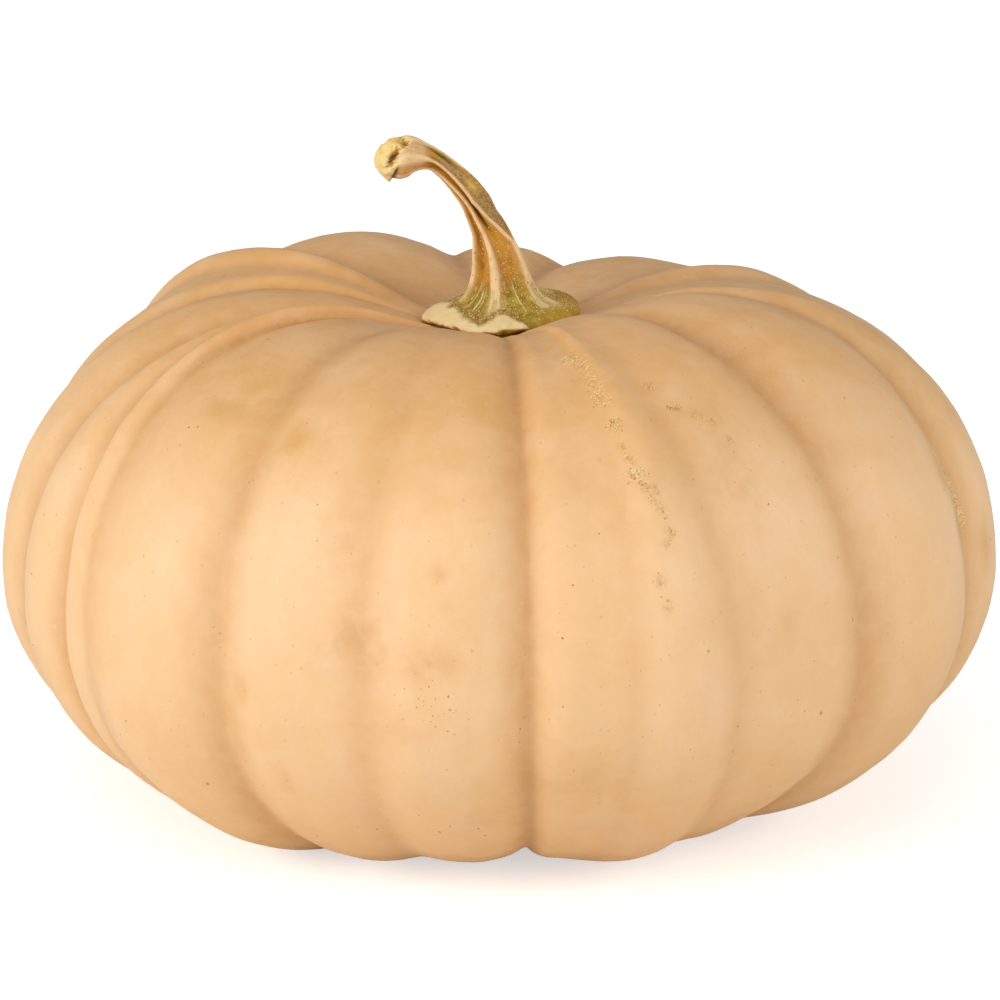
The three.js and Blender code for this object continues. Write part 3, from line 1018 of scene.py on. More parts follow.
@dataclass
class Fruit:
    """The whole fruit: 18 ribs between furrows, a hollow round the stem and one at the blossom end."""

    skin_finish: SkinFinish = SkinFinish()
    waist_radius: float = 148.7
    waist_height: float = 73.4
    crown_rise: float = 88.8
    base_drop: float = 84.0
    crown_shape: tuple[float, float] = (3.3, 2.04)
    base_shape: tuple[float, float] = (2.5, 2.06)
    stem_hollow: Hollow = Hollow(19.5, 0.32)
    blossom_hollow: Hollow = Hollow(14.5, 0.39)
    levelling: float = 0.3
    furrow_power: float = 2.4
    furrow_rounding: float = 0.08
    furrow_ends: tuple[float, float] = (0.05, 0.5)
    furrow_tilt: float = 0.7
    crease_share: float = 0.07
    crease_width: float = 2.6
    blossom_ring: tuple[float, float] = (6.5, 1.7)
    blossom_button: float = 4.5
    streak_squash: float = 0.12
    strip_squash: float = 0.16
    least_spot: float = 2.2
    softening: int = 14
    rows: int = 228
    places_per_rib: int = 23
    crowding: float = 0.4
    piece: bpy.types.Object | None = None
    grid: np.ndarray = field(default_factory=lambda: np.empty(0))

    def _crowded(self, steps: int) -> np.ndarray:
        """Shares across a rib at its first so many places, which crowd together near the furrows."""
        even = np.arange(steps) / self.places_per_rib
        return even - self.crowding * np.sin(FULL_TURN * even) / FULL_TURN

    def _across(self, name: str, rib: np.ndarray, share: np.ndarray) -> np.ndarray:
        """Smooth mean of a rib's own figure and its neighbours'.

        Args:
            name: the figure's name.
            rib: number of the rib at each point.
            share: place of each point across its rib.

        Returns:
            The figure at each point.
        """
        own = np.array([getattr(each, name) for each in RIBS], float)
        count = len(RIBS)
        near_left = smooth_rise(0, 1, share + 0.5)
        near_right = smooth_rise(0, 1, share - 0.5)
        left = own[rib - 1] + (own[rib] - own[rib - 1]) * near_left
        right = own[rib] + (own[(rib + 1) % count] - own[rib]) * near_right
        return np.where(share < 0.5, left, right)

    def _columns(self) -> dict[str, np.ndarray]:
        """What the rule needs at each point of the blank.

        Returns:
            One array for each attribute, from the crown's point to the blossom end's.
        """
        count = len(RIBS)
        rib = np.repeat(np.arange(count), self.places_per_rib)
        share = np.tile(self._crowded(self.places_per_rib), count)
        ring_drops = math.pi * np.arange(1, self.rows) / self.rows
        drop = np.concatenate([[0.0], np.repeat(ring_drops, len(rib)), [math.pi]])
        rib = np.concatenate([[0], np.tile(rib, self.rows - 1), [0]])
        share = np.concatenate([[0.0], np.tile(share, self.rows - 1), [0.0]])
        following = (rib + 1) % count
        polar = np.cos(drop) ** 2
        upper = np.cos(drop) > 0
        figures = ("azimuth", "lead", "trail", "cut")
        azimuth, lead, trail, cuts = (
            np.array([getattr(each, figure) for each in RIBS], float) for figure in figures
        )
        start = azimuth[rib] + polar * np.where(upper, lead[rib], trail[rib])
        end = azimuth[following] + polar * np.where(upper, lead[following], trail[following])
        end = end + np.where(following == 0, 360.0, 0.0)
        furrow = np.where(share < 0.5, rib, following)
        cut = cuts[furrow, 1] * (1 - polar) + polar * np.where(upper, cuts[furrow, 0], cuts[furrow, 2])
        turn = np.radians(start + (end - start) * share)
        size = self.waist_radius * MILLIMETRE
        run = np.stack([np.sin(turn) * size, np.cos(turn) * size, drop * size * self.streak_squash], axis=1)
        return {
            "drop": drop, "turn": turn, "cut": cut, "away": 2 * np.minimum(share, 1 - share),
            "span": np.radians(end - start), "reach": self._across("reach", rib, share),
            "crown": self._across("crown", rib, share), "keel": self._across("keel", rib, share), "run": run,
        }

    def _relief(self, recipe: Recipe, turn: Term, radial: Term, axial: Term, gap: Term) -> Term:
        """How far the skin stands proud of the plain rule.

        Args:
            recipe: the tree.
            turn: azimuth.
            radial: sine of the drop.
            axial: cosine of the drop.
            gap: distance to the nearest furrow in millimetres.

        Returns:
            Height of the relief in millimetres.
        """
        wiring = recipe.wiring
        side = self.waist_radius
        east, south = wiring.math("SINE", turn), wiring.math("COSINE", turn)
        ball = wiring.join(radial * east * side, radial * south * side, axial * side)
        strips = wiring.join(east * side, south * side, axial * (side * self.strip_squash))
        sway = wiring.cloud(ball, 1 / recipe.take("Sway width", 42.0), 1.5) - 0.5
        strip = wiring.cloud(strips, 1 / recipe.take("Strip width", 15.0), 1.0) - 0.5
        dimple = wiring.cloud(ball, 1 / recipe.take("Dimple width", 7.0), 2.0) - 0.5
        fade = wiring.rise(radial, 0.1, 0.5)
        crease = wiring.bell(gap, recipe.take("Crease width", self.crease_width))
        broken = wiring.cloud(ball, 1 / recipe.take("Crease breaks", 26.0), 2.0)
        broken = broken * wiring.rise(radial, 0.45, 0.8)
        crease = crease * recipe.attribute("cut") * recipe.take("Crease share", self.crease_share) * broken
        edge = radial * side
        low = wiring.math("LESS_THAN", axial, 0.0)
        ring_radius, ring_width = self.blossom_ring
        ring = wiring.bell(edge - recipe.take("Blossom scar radius", ring_radius), ring_width)
        button = ring - wiring.bell(edge, self.blossom_button) * 0.7
        proud = sway * recipe.take("Sway", 2.2) + strip * fade * recipe.take("Strip", 1.1)
        return proud + dimple * recipe.take("Dimple", 0.22) - crease + button * low - 0.2

    def _rule(self) -> Recipe:
        """The tree that gives the blank its shape, from the same sizes as the solid.

        Returns:
            The tree, ready to run.
        """
        recipe = Recipe("rib rule")
        wiring = recipe.wiring
        drop, turn, cut, away = (recipe.attribute(name) for name in ("drop", "turn", "cut", "away"))
        radial, axial = wiring.math("SINE", drop), wiring.math("COSINE", drop)
        upper = wiring.math("GREATER_THAN", axial, 0.0)
        width_power = wiring.blend(upper, self.base_shape[0], self.crown_shape[0])
        height_power = wiring.blend(upper, self.base_shape[1], self.crown_shape[1])
        inside = wiring.math("MAXIMUM", 1 - radial ** width_power, 0.0)
        bow = inside ** (1 / height_power)
        radius = (recipe.take("Waist radius", self.waist_radius) + recipe.attribute("reach")) * radial
        own = 1 - wiring.bell(radial, recipe.take("Levelling", self.levelling))
        over = recipe.take("Crown rise", self.crown_rise) + own * recipe.attribute("crown")
        under = recipe.take("Base drop", self.base_drop) + own * recipe.attribute("keel")
        way = wiring.math("SIGN", axial)
        hollow_depth = wiring.blend(upper, self.blossom_hollow.depth, self.stem_hollow.depth)
        hollow_width = wiring.blend(upper, self.blossom_hollow.width, self.stem_hollow.width)
        height = wiring.blend(upper, under, over) * bow - hollow_depth * wiring.bell(radial, hollow_width)
        height = way * height
        shallow = 1 - wiring.rise(cut, 0.5, 4.0)
        rounding = recipe.take("Furrow rounding", self.furrow_rounding) + shallow * 0.12
        rounded = wiring.math("SQRT", away * away + rounding * rounding) - rounding
        deepened = wiring.rise(radial, *self.furrow_ends)
        hump = wiring.math("MAXIMUM", 1 - rounded, 0.0) ** recipe.take("Furrow power", self.furrow_power)
        gap = away * 0.5 * recipe.attribute("span") * radius
        inset = cut * deepened * hump - self._relief(recipe, turn, radial, axial, gap)
        lean = radial * recipe.take("Furrow tilt", self.furrow_tilt)
        length = wiring.math("SQRT", lean * lean + axial * axial)
        radius = radius - inset * lean / length
        level = recipe.take("Waist height", self.waist_height) + height - inset * axial / length
        level = wiring.math("MAXIMUM", level, 0.0)
        east, south = wiring.math("SINE", turn), wiring.math("COSINE", turn)
        place = wiring.join(radius * east, radius * south * -1, level)
        shaped = recipe.move(recipe.geometry, wiring.stretch(place, MILLIMETRE))
        near = wiring.bell(away, recipe.take("Softened width", 0.3)) * shallow
        steps = recipe.take("Softening", self.softening, "NodeSocketInt")
        recipe.close(recipe.blur(shaped, steps, near), self.skin_finish.material())
        return recipe

    def on_skin(self, place: float, drop: float) -> np.ndarray:
        """Point of the finished skin.

        Args:
            place: number of the rib plus the share across it.
            drop: angle down from the crown in degrees.

        Returns:
            The point in millimetres.
        """
        shares = self._crowded(self.places_per_rib + 1)
        within = float(np.interp(place - int(place), shares, np.arange(len(shares))))
        column = int(place) % len(RIBS) * self.places_per_rib + within
        row = drop / 180 * self.rows - 1
        across, down = int(column), int(row)
        count = self.grid.shape[1]
        corner = [self.grid[down + a, (across + b) % count] for a, b in ((0, 0), (0, 1), (1, 0), (1, 1))]
        right, low = column - across, row - down
        top = corner[0] * (1 - right) + corner[1] * right
        bottom = corner[2] * (1 - right) + corner[3] * right
        return top * (1 - low) + bottom * low

    def trail(self, knots: tuple[tuple[float, float], ...], steps: int = 6) -> np.ndarray:
        """Points on the skin along a trail, with steps of them from knot to knot.

        Args:
            knots: places in ribs and drops in degrees.
            steps: number of points from knot to knot.

        Returns:
            One row of three numbers for each point, in millimetres.
        """
        rows = np.array(knots, float)
        count = (len(rows) - 1) * steps + 1
        even = np.linspace(0, len(rows) - 1, count)
        places = np.interp(even, np.arange(len(rows)), rows[:, 0])
        drops = np.interp(even, np.arange(len(rows)), rows[:, 1])
        return np.array([self.on_skin(place, drop) for place, drop in zip(places, drops)])

    def _spread(self, points: np.ndarray, spots: "tuple[Mark, ...] | tuple[Clump, ...]") -> np.ndarray:
        """Strength of the strongest of some soft spots.

        Args:
            points: points of the skin in millimetres.
            spots: marks or clumps with a place, a drop and half sizes.

        Returns:
            One value for each point.
        """
        total = np.zeros(len(points))
        for spot in spots:
            centre = self.on_skin(spot.place, spot.drop)
            offset = points - centre
            sideways = np.array([-centre[1], centre[0], 0.0])
            across = offset @ (sideways / np.linalg.norm(sideways))
            down = np.sqrt(np.maximum((offset**2).sum(axis=1) - across**2, 0.0))
            strength = getattr(spot, "strength", 1.0)
            wide, tall = (max(size, self.least_spot) for size in (spot.across, spot.down))
            total = np.maximum(total, strength * hill(across, wide) * hill(down, tall))
        return total

    def _mark(self, points: np.ndarray) -> None:
        """Writes the stains, scars and ends of the skin, and the painted shade of its furrows, its stem
        hollow and its underside, as attributes.

        Args:
            points: points of the skin in millimetres.
        """
        away, cut, drop = (fetch(self.piece, name) for name in ("away", "cut", "drop"))
        radial, axial = np.sin(drop), np.cos(drop)
        # Painted shade of the furrows: darker where they are cut deeper and along their lines
        depth = np.clip((cut + 0.7) / 4.6, 0, 1.2) * smooth_rise(0.06, 0.4, radial)
        groove = 0.72 * (1 - smooth_rise(0.0, 0.5, away)) + 0.28 * hill(away, 0.12)
        blossom = np.where(axial < 0, np.clip(1.2 - radial * self.waist_radius / 9, 0, 1), 0)
        looks = {"scar": self._spread(points, SCARS)}
        for kind in MarkKind:
            looks[kind.value] = self._spread(points, tuple(mark for mark in MARKS if mark.kind is kind))
        looks["furrow"] = np.clip(groove * depth, 0, 1)
        looks["height"] = np.clip((axial - 0.35) / 0.5, 0, 1)
        # Painted shade of the stem's hollow, strongest close round the stem, upper half only
        looks["seat"] = hill(radial, 0.4) * (axial > 0)
        # Painted shade of the underside, rising from the waist downwards
        looks["underside"] = smooth_rise(0.05, 0.75, -axial)
        looks["cork"] = np.clip(blossom * 1.6, 0, 0.9)
        for name, values in looks.items():
            store(self.piece.data, name, values)

    def build(self) -> bpy.types.Object:
        """Makes the skin.

        Returns:
            The piece that stands for the fruit's solid.
        """
        count = len(RIBS) * self.places_per_rib
        blank = ring_blank("skin blank", self.rows - 1, count, self._columns())
        self.piece = self._rule().run(blank, "ribbed_skin")
        points = points_of(self.piece)
        self.grid = points[1:-1].reshape(self.rows - 1, count, 3)
        self._mark(points)
        return self.piece

    def dress(self) -> None:
        """Fixes the skin to the body in the fruit's place."""
        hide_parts("fruit")
        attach(self.piece, "root")


@dataclass(frozen=True)
class StemPlaces:
    """Points of the stem's blank: millimetres along it, degrees round it and where its ridges run.

    Crest is 1 on a ridge and 0 in a channel, rim is where the cut end's callus starts, and rough and lumps
    are random values that the edges of the callus and the colours follow.
    """

    along: np.ndarray
    turn: np.ndarray
    ridges: tuple[np.ndarray, ...]
    crest: np.ndarray
    rim: np.ndarray
    rough: np.ndarray
    lumps: np.ndarray


@dataclass
class Stem:
    """The dry stem: five ridges that twist up an arched line, a flared foot and a callused cut end."""

    fruit: Fruit
    finish: StemFinish = StemFinish()
    seat_above_waist: float = 74.0
    buried: float = 12.0
    tip: float = 73.8
    line: tuple = (
        (2.9, 0, -12), (2.3, 0, 0), (1.6, 0, 10), (0.4, 0, 17.7), (-2.2, -0.3, 26), (-4.3, -0.6, 30.3),
        (-6.9, -1, 36.4), (-12.1, -1.6, 43), (-18.2, -2.2, 48.2), (-22.6, -2.7, 49.8), (-26.8, -3.2, 50.1),
        (-30, -3.6, 49),
    )
    outline: tuple = (
        (-9, 20), (-3, 22.4), (0, 23.8), (1.6, 23.6), (3, 22.2), (4.1, 19), (5.2, 15.8), (6.6, 13),
        (8.3, 11.3), (10.5, 10.2), (14, 9.2), (18, 8.3), (22.5, 7.1), (26.5, 5.8), (31, 4.9), (38, 4.7),
        (46, 4.1), (51, 3.7), (55, 3.7), (58.5, 4.4), (62, 5.7), (65, 6.6), (67.5, 6.4), (70, 5.6), (72, 4.2),
        (73.2, 2.4),
    )
    stations: tuple = (0, 22, 31, 38, 47, 58)
    ridges: tuple = (
        (-84, -80, -78, -76, -85, -100), (-12, -13, -22, -33, -48, -60), (60, 62, 27, -6, -4, 0),
        (132, 130, 100, 72, 70, 75), (204, 204, 185, 165, 165, 165),
    )
    lip_height: tuple = (
        (-132, 0), (-112, 3.6), (-88, 5.2), (-62, 4.9), (-42, 4.2), (-27, 3.3), (-20, 2.6), (-13, 3.6),
        (0, 4.5), (9, 3.9), (15, 2.7), (20, 0),
    )
    ridge_width: tuple[float, float] = (18.0, 12.5)
    channel_depth: float = 0.36
    foot_channel_depth: float = 0.1
    rim: float = 66.6
    rim_slant: float = 3.4
    rim_dip: float = 1.2
    line_steps: int = 40
    rings: int = 236
    count: int = 240
    tuck: float = 0.8
    piece: bpy.types.Object | None = None

    def _curve(self) -> np.ndarray:
        """Dense points of the centripetal curve through the line's knots, in millimetres.

        Returns:
            One row of three numbers for each point.
        """
        knots = np.array(self.line, float) + (0, 0, self.fruit.waist_height + self.seat_above_waist)
        padded = np.vstack([2 * knots[0] - knots[1], knots, 2 * knots[-1] - knots[-2]])
        rows = []
        for a, b, c, d in zip(padded, padded[1:], padded[2:], padded[3:]):
            before, here, after = (math.sqrt(np.linalg.norm(q - p)) for p, q in ((a, b), (b, c), (c, d)))
            start = ((b - a) / before - (c - a) / (before + here) + (c - b) / here) * here
            end = ((c - b) / here - (d - b) / (here + after) + (d - c) / after) * here
            share = np.linspace(0, 1, self.line_steps, endpoint=False)[:, None]
            rows.append(bridge(share, b, start, c, end))
        way = knots[-1] - rows[-1][-1]
        beyond = knots[-1] + way / np.linalg.norm(way) * np.array([[0.0], [4.0], [9.0]])
        return np.vstack([*rows, beyond])

    def _girth(self, along: np.ndarray) -> np.ndarray:
        """Radius over the ridges at lengths along the stem, smoothed between the outline's stations.

        Args:
            along: the lengths.

        Returns:
            The radius at each, in millimetres.
        """
        stations, radii = np.array(self.outline, float).T
        slopes = np.gradient(radii, stations)
        k = np.clip(np.searchsorted(stations, along) - 1, 0, len(stations) - 2)
        gap = stations[k + 1] - stations[k]
        share = np.clip((along - stations[k]) / gap, 0, 1)
        return bridge(share, radii[k], slopes[k] * gap, radii[k + 1], slopes[k + 1] * gap)

    def _places(self) -> StemPlaces:
        """Places of the blank's points, from the cut end's point to the foot's.

        Returns:
            The places.
        """
        low, high = self.outline[0][0], self.outline[-1][0]
        even = np.linspace(1, 0, self.rings)
        # Rings lie a little closer towards the foot
        lengths = low + (high - low) * (even * 0.8 + 0.2 * even**2)
        along = np.concatenate([[self.tip], np.repeat(lengths, self.count), [low]])
        degrees = np.tile(360 * np.arange(self.count) / self.count, self.rings)
        turn = (np.concatenate([[0.0], degrees, [0.0]]) + 180) % 360 - 180
        ridges = tuple(np.interp(along, self.stations, turns) for turns in self.ridges)
        width = self.ridge_width[0] + (self.ridge_width[1] - self.ridge_width[0]) * smooth_rise(12, 30, along)
        crest = np.max([hill((turn - ridge + 180) % 360 - 180, width) for ridge in ridges], axis=0)
        # The channels end in a collar under the cut end
        collar = smooth_rise(54, 59.5, along)
        crest = crest + (1 - crest) * collar * (0.74 - 0.06 * hill(turn + 42, 24))
        rim = self.rim - self.rim_slant * np.sin(np.radians(turn)) - self.rim_dip * hill(turn - 48, 25)
        rough = wander(wrapped(turn, along, 3, 0.35), 1.0, 3.1)
        lumps = wander(wrapped(turn, along, 3, 0.35), 0.45, 7.7)
        return StemPlaces(along, turn, ridges, crest, rim, rough, lumps)

    def _end(self, at: StemPlaces) -> dict[str, np.ndarray]:
        """Shape and colour attributes of the callused cut end.

        Args:
            at: places of the points.

        Returns:
            The end's attributes.
        """
        past = at.along - at.rim
        cap = smooth_rise(-0.4, 0.4, past)
        # Crevice under the callus, two pits in its face, and small hollows
        notch = hill(past, 0.6) * smooth_rise(-125, -95, at.turn) * (1 - smooth_rise(-30, -4, at.turn))
        pit = hill(past - 2.6 + at.lumps, 1.7) * hill(at.turn - 20 + 14 * at.rough, 30)
        pit = np.maximum(pit, 0.8 * hill(past - 1.0 + 0.5 * at.lumps, 0.9) * hill(at.turn - 66, 34))
        gnarl = wander(wrapped(at.turn, at.along, 9, 1.6), 1.0, 5.2)
        hollows = smooth_rise(0.2, 0.5, gnarl) * cap * smooth_rise(-60, 20, at.turn) * hill(past, 4.5)
        return {
            "cap": cap, "notch": notch, "pit": pit, "hollows": np.clip(np.maximum(hollows, pit), 0, 1),
            "beak": hill(at.turn + 88, 24) * hill(past - 1.0, 1.2),
            "yellowed": cap * smooth_rise(-30, 70, at.turn),
            "soft": hill(at.along - 63.5, 3.5) * hill(at.turn + 90, 60),
        }

    def _shaft(self, at: StemPlaces, cap: np.ndarray) -> dict[str, np.ndarray]:
        """Colour attributes of the shaft, between the foot and the cut end.

        Args:
            at: places of the points.
            cap: 1 on the cut end.

        Returns:
            The shaft's attributes.
        """
        along, turn, crest = at.along, at.turn, at.crest
        second, third, fourth = at.ridges[1:4]
        # Grey skin right of the third ridge, over which the fourth ridge fades
        right = smooth_rise(0, 12, turn - third) * (1 - smooth_rise(15, 60, turn - fourth))
        fading = hill(turn - fourth, 22) * smooth_rise(22, 30, along) * (1 - smooth_rise(43, 50, along))
        grey = right * smooth_rise(19, 27, along) * (1 - crest * (1 - fading))
        grey = grey * (1 - smooth_rise(52, 57, along))
        # A mossy streak high up and an amber spot halfway, both between the third and the fourth ridge
        mossy = third + 0.75 * (fourth - third)
        spotted = third + 0.6 * (fourth - third)
        return {
            "fading": fading, "grey": grey * 0.85,
            "pinch": hill(turn - (second + third) / 2, 7.0) * hill(along - 35, 7.5) * (1 - crest),
            "moss": hill(turn - mossy, 9) * hill(along - 54, 4.5) * (1 - cap),
            "amber": hill(turn - spotted, 18) * hill(along - 42.2, 2.2),
        }

    def _foot(self, at: StemPlaces, cap: np.ndarray) -> dict[str, np.ndarray]:
        """Shape and colour attributes of the flared foot, and where rust and grit lie above it.

        Args:
            at: places of the points.
            cap: 1 on the cut end.

        Returns:
            The foot's attributes.
        """
        along, turn, crest, rough, lumps = at.along, at.turn, at.crest, at.rough, at.lumps
        # Cream callus along the front and left, whose swollen lip also runs on to the right lobe
        turns, heights = np.array(self.lip_height, float).T
        lip_top = np.interp(turn, turns, heights) + (0.7 * rough + 0.5 * lumps) * (turn > -120) * (turn < 19)
        kept = np.clip(lip_top * 2, 0, 1)
        lip = kept * (1 - smooth_rise(lip_top - 0.3, lip_top + 0.3, along))
        lip = lip * smooth_rise(0.9, 1.6, along + 1.3 * lumps + 0.6 * rough)
        share = (along - 0.5 * lip_top) / (0.5 * np.maximum(lip_top, 0.1) + 0.3)
        swell = kept * np.sqrt(np.clip(1 - share**2, 0, 1))
        swell = np.maximum(swell, 0.9 * hill(turn - 84, 42) * hill(along - 3.0, 1.9))
        # Pale veins on olive skin, and the yellower lobe on the right
        veins = wander(wrapped(turn - at.ridges[1], along, 11, 0.12), 1.0, 1.3)
        vein = smooth_rise(0.0, 0.35, veins) * smooth_rise(3.5, 5.5, along) * (1 - smooth_rise(10, 17, along))
        base = 1 - smooth_rise(9 + 3 * rough, 13 + 3 * rough, along)
        lobe = hill(turn - 85, 50) * (1 - smooth_rise(4, 9, along))
        olive = np.maximum(base * (1 - crest * 0.5 * smooth_rise(3, 6, along)), lobe)
        # Rust over the callus, at the olive skin's edge, on the lobe and down the ridges' flanks
        seam = hill(along - lip_top - 0.7, 0.7) * kept
        rust = seam + 0.35 * hill(along - 12 - 3 * rough, 2) * (1 - crest * 0.6)
        rust = rust + 0.4 * hill(turn - 92, 30) * hill(along - 6.5, 3.0)
        rust = rust + 0.5 * hill(turn - 108, 14) * (along < 5)
        flanks = crest * (1 - crest) * 2 * smooth_rise(6, 12, along) * (1 - smooth_rise(20, 34, along))
        # Grit in the two front channels, on the foot and along the callus
        grit = 0.9 * hill(turn - 26, 30) * (1 - crest) * hill(along - 18, 11)
        grit = grit + 0.45 * hill(turn + 50, 34) * (1 - crest) * hill(along - 18, 10)
        grit = grit + 0.9 * hill(turn + 3, 9) * hill(along - 8, 5)
        grit = grit + 0.8 * hill(turn - 85, 30) * hill(along - 8, 4)
        grit = grit + 0.5 * hill(turn - 40, 35) * hill(along - 7, 4)
        grit = grit + 0.5 * hill(along - lip_top - 0.8, 0.9) * kept
        return {
            "lip": lip, "swell": swell, "under": (1 - smooth_rise(-1.2, 1.7, along + 0.5 * lumps)) * kept,
            "vein": vein, "lobe": np.clip(lobe, 0, 1), "olive": np.clip(olive, 0, 1),
            "rust": np.clip(rust + flanks * 0.5, 0, 1) * (1 - lip) * (1 - cap),
            "grit": np.clip(grit - lip * 2 - cap, 0, 1),
        }

    def _columns(self) -> dict[str, np.ndarray]:
        """What the rule and the finish need at each point of the blank.

        Returns:
            One array for each attribute, from the cut end's point to the foot's.
        """
        at = self._places()
        girth = self._girth(at.along)
        girth[0] = girth[-1] = 0.0
        end = self._end(at)
        shaft = self._shaft(at, end["cap"])
        foot = self._foot(at, end["cap"])
        callus = np.clip(np.maximum(end["cap"], foot.pop("lip")), 0, 1)
        # Mask of the painted shade: the crevice under the callus, a pinched channel and the pits
        dark = np.maximum.reduce([end["notch"] * 0.9, shaft.pop("pinch"), end["pit"] ** 3 * 0.5])
        return {
            "along": at.along, "turn": np.radians(at.turn), "girth": girth, "crest": at.crest,
            "risen": smooth_rise(4, 16, at.along) * (1 - smooth_rise(54, 64, at.along)),
            "grain": wrapped(at.turn - at.ridges[1], at.along, 1, 0.028),
            "callus": callus, "dark": np.clip(dark, 0, 1), **end, **shaft, **foot,
        }

    def _rule(self, line: bpy.types.Object) -> Recipe:
        """The tree that lays the blank along the stem's line.

        Args:
            line: curve that the stem follows.

        Returns:
            The tree, ready to run.
        """
        recipe = Recipe("stem along its line")
        wiring = recipe.wiring
        path = recipe.take("Line", line, "NodeSocketObject")
        curve = wiring.node("GeometryNodeObjectInfo", {"Object": path}, "Geometry")
        ground = recipe.host(self.fruit.piece)
        along, turn, girth = (recipe.attribute(name) for name in ("along", "turn", "girth"))
        crest, cap = recipe.attribute("crest"), recipe.attribute("cap")
        length = (along + recipe.take("Buried length", self.buried)) * MILLIMETRE
        sample = {"Curves": curve, "Length": length}
        spot = wiring.node("GeometryNodeSampleCurve", sample, "Position", mode="LENGTH")
        forward = spot.also("Tangent")
        rearward = (0.0, 1.0, 0.0)
        lean = wiring.vector("DOT_PRODUCT", forward, rearward, output=1)
        back = wiring.vector("NORMALIZE", wiring.vector("SUBTRACT", rearward, wiring.stretch(forward, lean)))
        side = wiring.vector("CROSS_PRODUCT", back, forward)
        deep, shallow = recipe.take("Channel depth", self.channel_depth), self.foot_channel_depth
        depth = wiring.blend(recipe.attribute("risen"), shallow, deep)
        bare = girth * (1 - depth * (1 - crest))
        sine, cosine = wiring.math("SINE", turn), wiring.math("COSINE", turn)
        around = wiring.vector("ADD", wiring.stretch(side, sine), wiring.stretch(back, cosine * -1))
        rough_place = wiring.join(sine * girth, cosine * girth, along)
        lumps = wiring.cloud(rough_place, 1 / recipe.take("Callus lump", 3.4), 1.5) - 0.5
        knobs = wiring.node(
            "ShaderNodeTexVoronoi", {"Vector": rough_place, "Scale": 1 / recipe.take("Callus knob", 2.1)}
        )
        grain = recipe.attribute("grain", "FLOAT_VECTOR")
        fibres = wiring.cloud(grain, recipe.take("Fibres", 6.5), 3.0) - 0.5
        pimples = wiring.cloud(rough_place, 1 / 1.1, 2.0) - 0.5
        thin = wiring.rise(girth, 1.0, 5.0)
        proud = fibres * recipe.take("Fibre height", 0.5) * wiring.blend(crest, 1.0, 0.4) * (1 - cap)
        proud = proud + pimples * 0.16 + recipe.attribute("vein") * recipe.take("Vein height", 0.4)
        proud = proud + cap * (lumps * recipe.take("Callus height", 2.2) + (0.45 - knobs) * 0.7 - 0.3)
        proud = proud + recipe.attribute("swell") * (lumps * 3.4 + 1.4)
        proud = proud - recipe.attribute("under") * recipe.take("Undercut", 2.0)
        proud = proud + recipe.attribute("beak") * recipe.take("Beak height", 1.5)
        proud = proud - recipe.attribute("notch") * recipe.take("Crevice", 1.3)
        # The painted shade's mask also sinks the surface a little
        proud = proud - recipe.attribute("pit") * 1.8 - recipe.attribute("dark") * 0.25
        proud = proud - recipe.attribute("hollows") * recipe.take("Hollows", 0.6)
        reach = (bare + proud * thin) * MILLIMETRE
        place = wiring.vector("ADD", spot, wiring.stretch(around, reach))
        parts = wiring.node("ShaderNodeSeparateXYZ", {0: place})
        above = wiring.join(parts, parts.also(1), 1.0)
        ray = {"Source Position": above, "Ray Direction": (0.0, 0.0, -1.0), "Ray Length": 2.0}
        hit = wiring.node(
            "GeometryNodeRaycast", {"Target Geometry": ground, **ray}, "Hit Position", data_type="FLOAT"
        )
        skin_height = wiring.node("ShaderNodeSeparateXYZ", {0: hit}, 2)
        floor = skin_height - recipe.take("Tuck", self.tuck) * MILLIMETRE
        nearby = wiring.math("LESS_THAN", along, 12.0)
        lifted = wiring.blend(nearby, parts.also(2), wiring.math("MAXIMUM", parts.also(2), floor))
        shaped = recipe.move(recipe.geometry, wiring.join(parts, parts.also(1), lifted))
        steps = recipe.take("Smoothing under the tip", 24, "NodeSocketInt")
        recipe.close(recipe.blur(shaped, steps, recipe.attribute("soft")), self.finish.material())
        return recipe

    def build(self) -> bpy.types.Object:
        """Makes the stem.

        Returns:
            The piece that stands for the stem's solid.
        """
        line = polyline("stem line", self._curve())
        blank = ring_blank("stem blank", self.rings, self.count, self._columns())
        self.piece = self._rule(line).run(blank, "dry_stem")
        bpy.data.objects.remove(line)
        return self.piece

    def dress(self) -> None:
        """Fixes the stem to the body in its solid's place."""
        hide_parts("stem")
        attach(self.piece, "root")


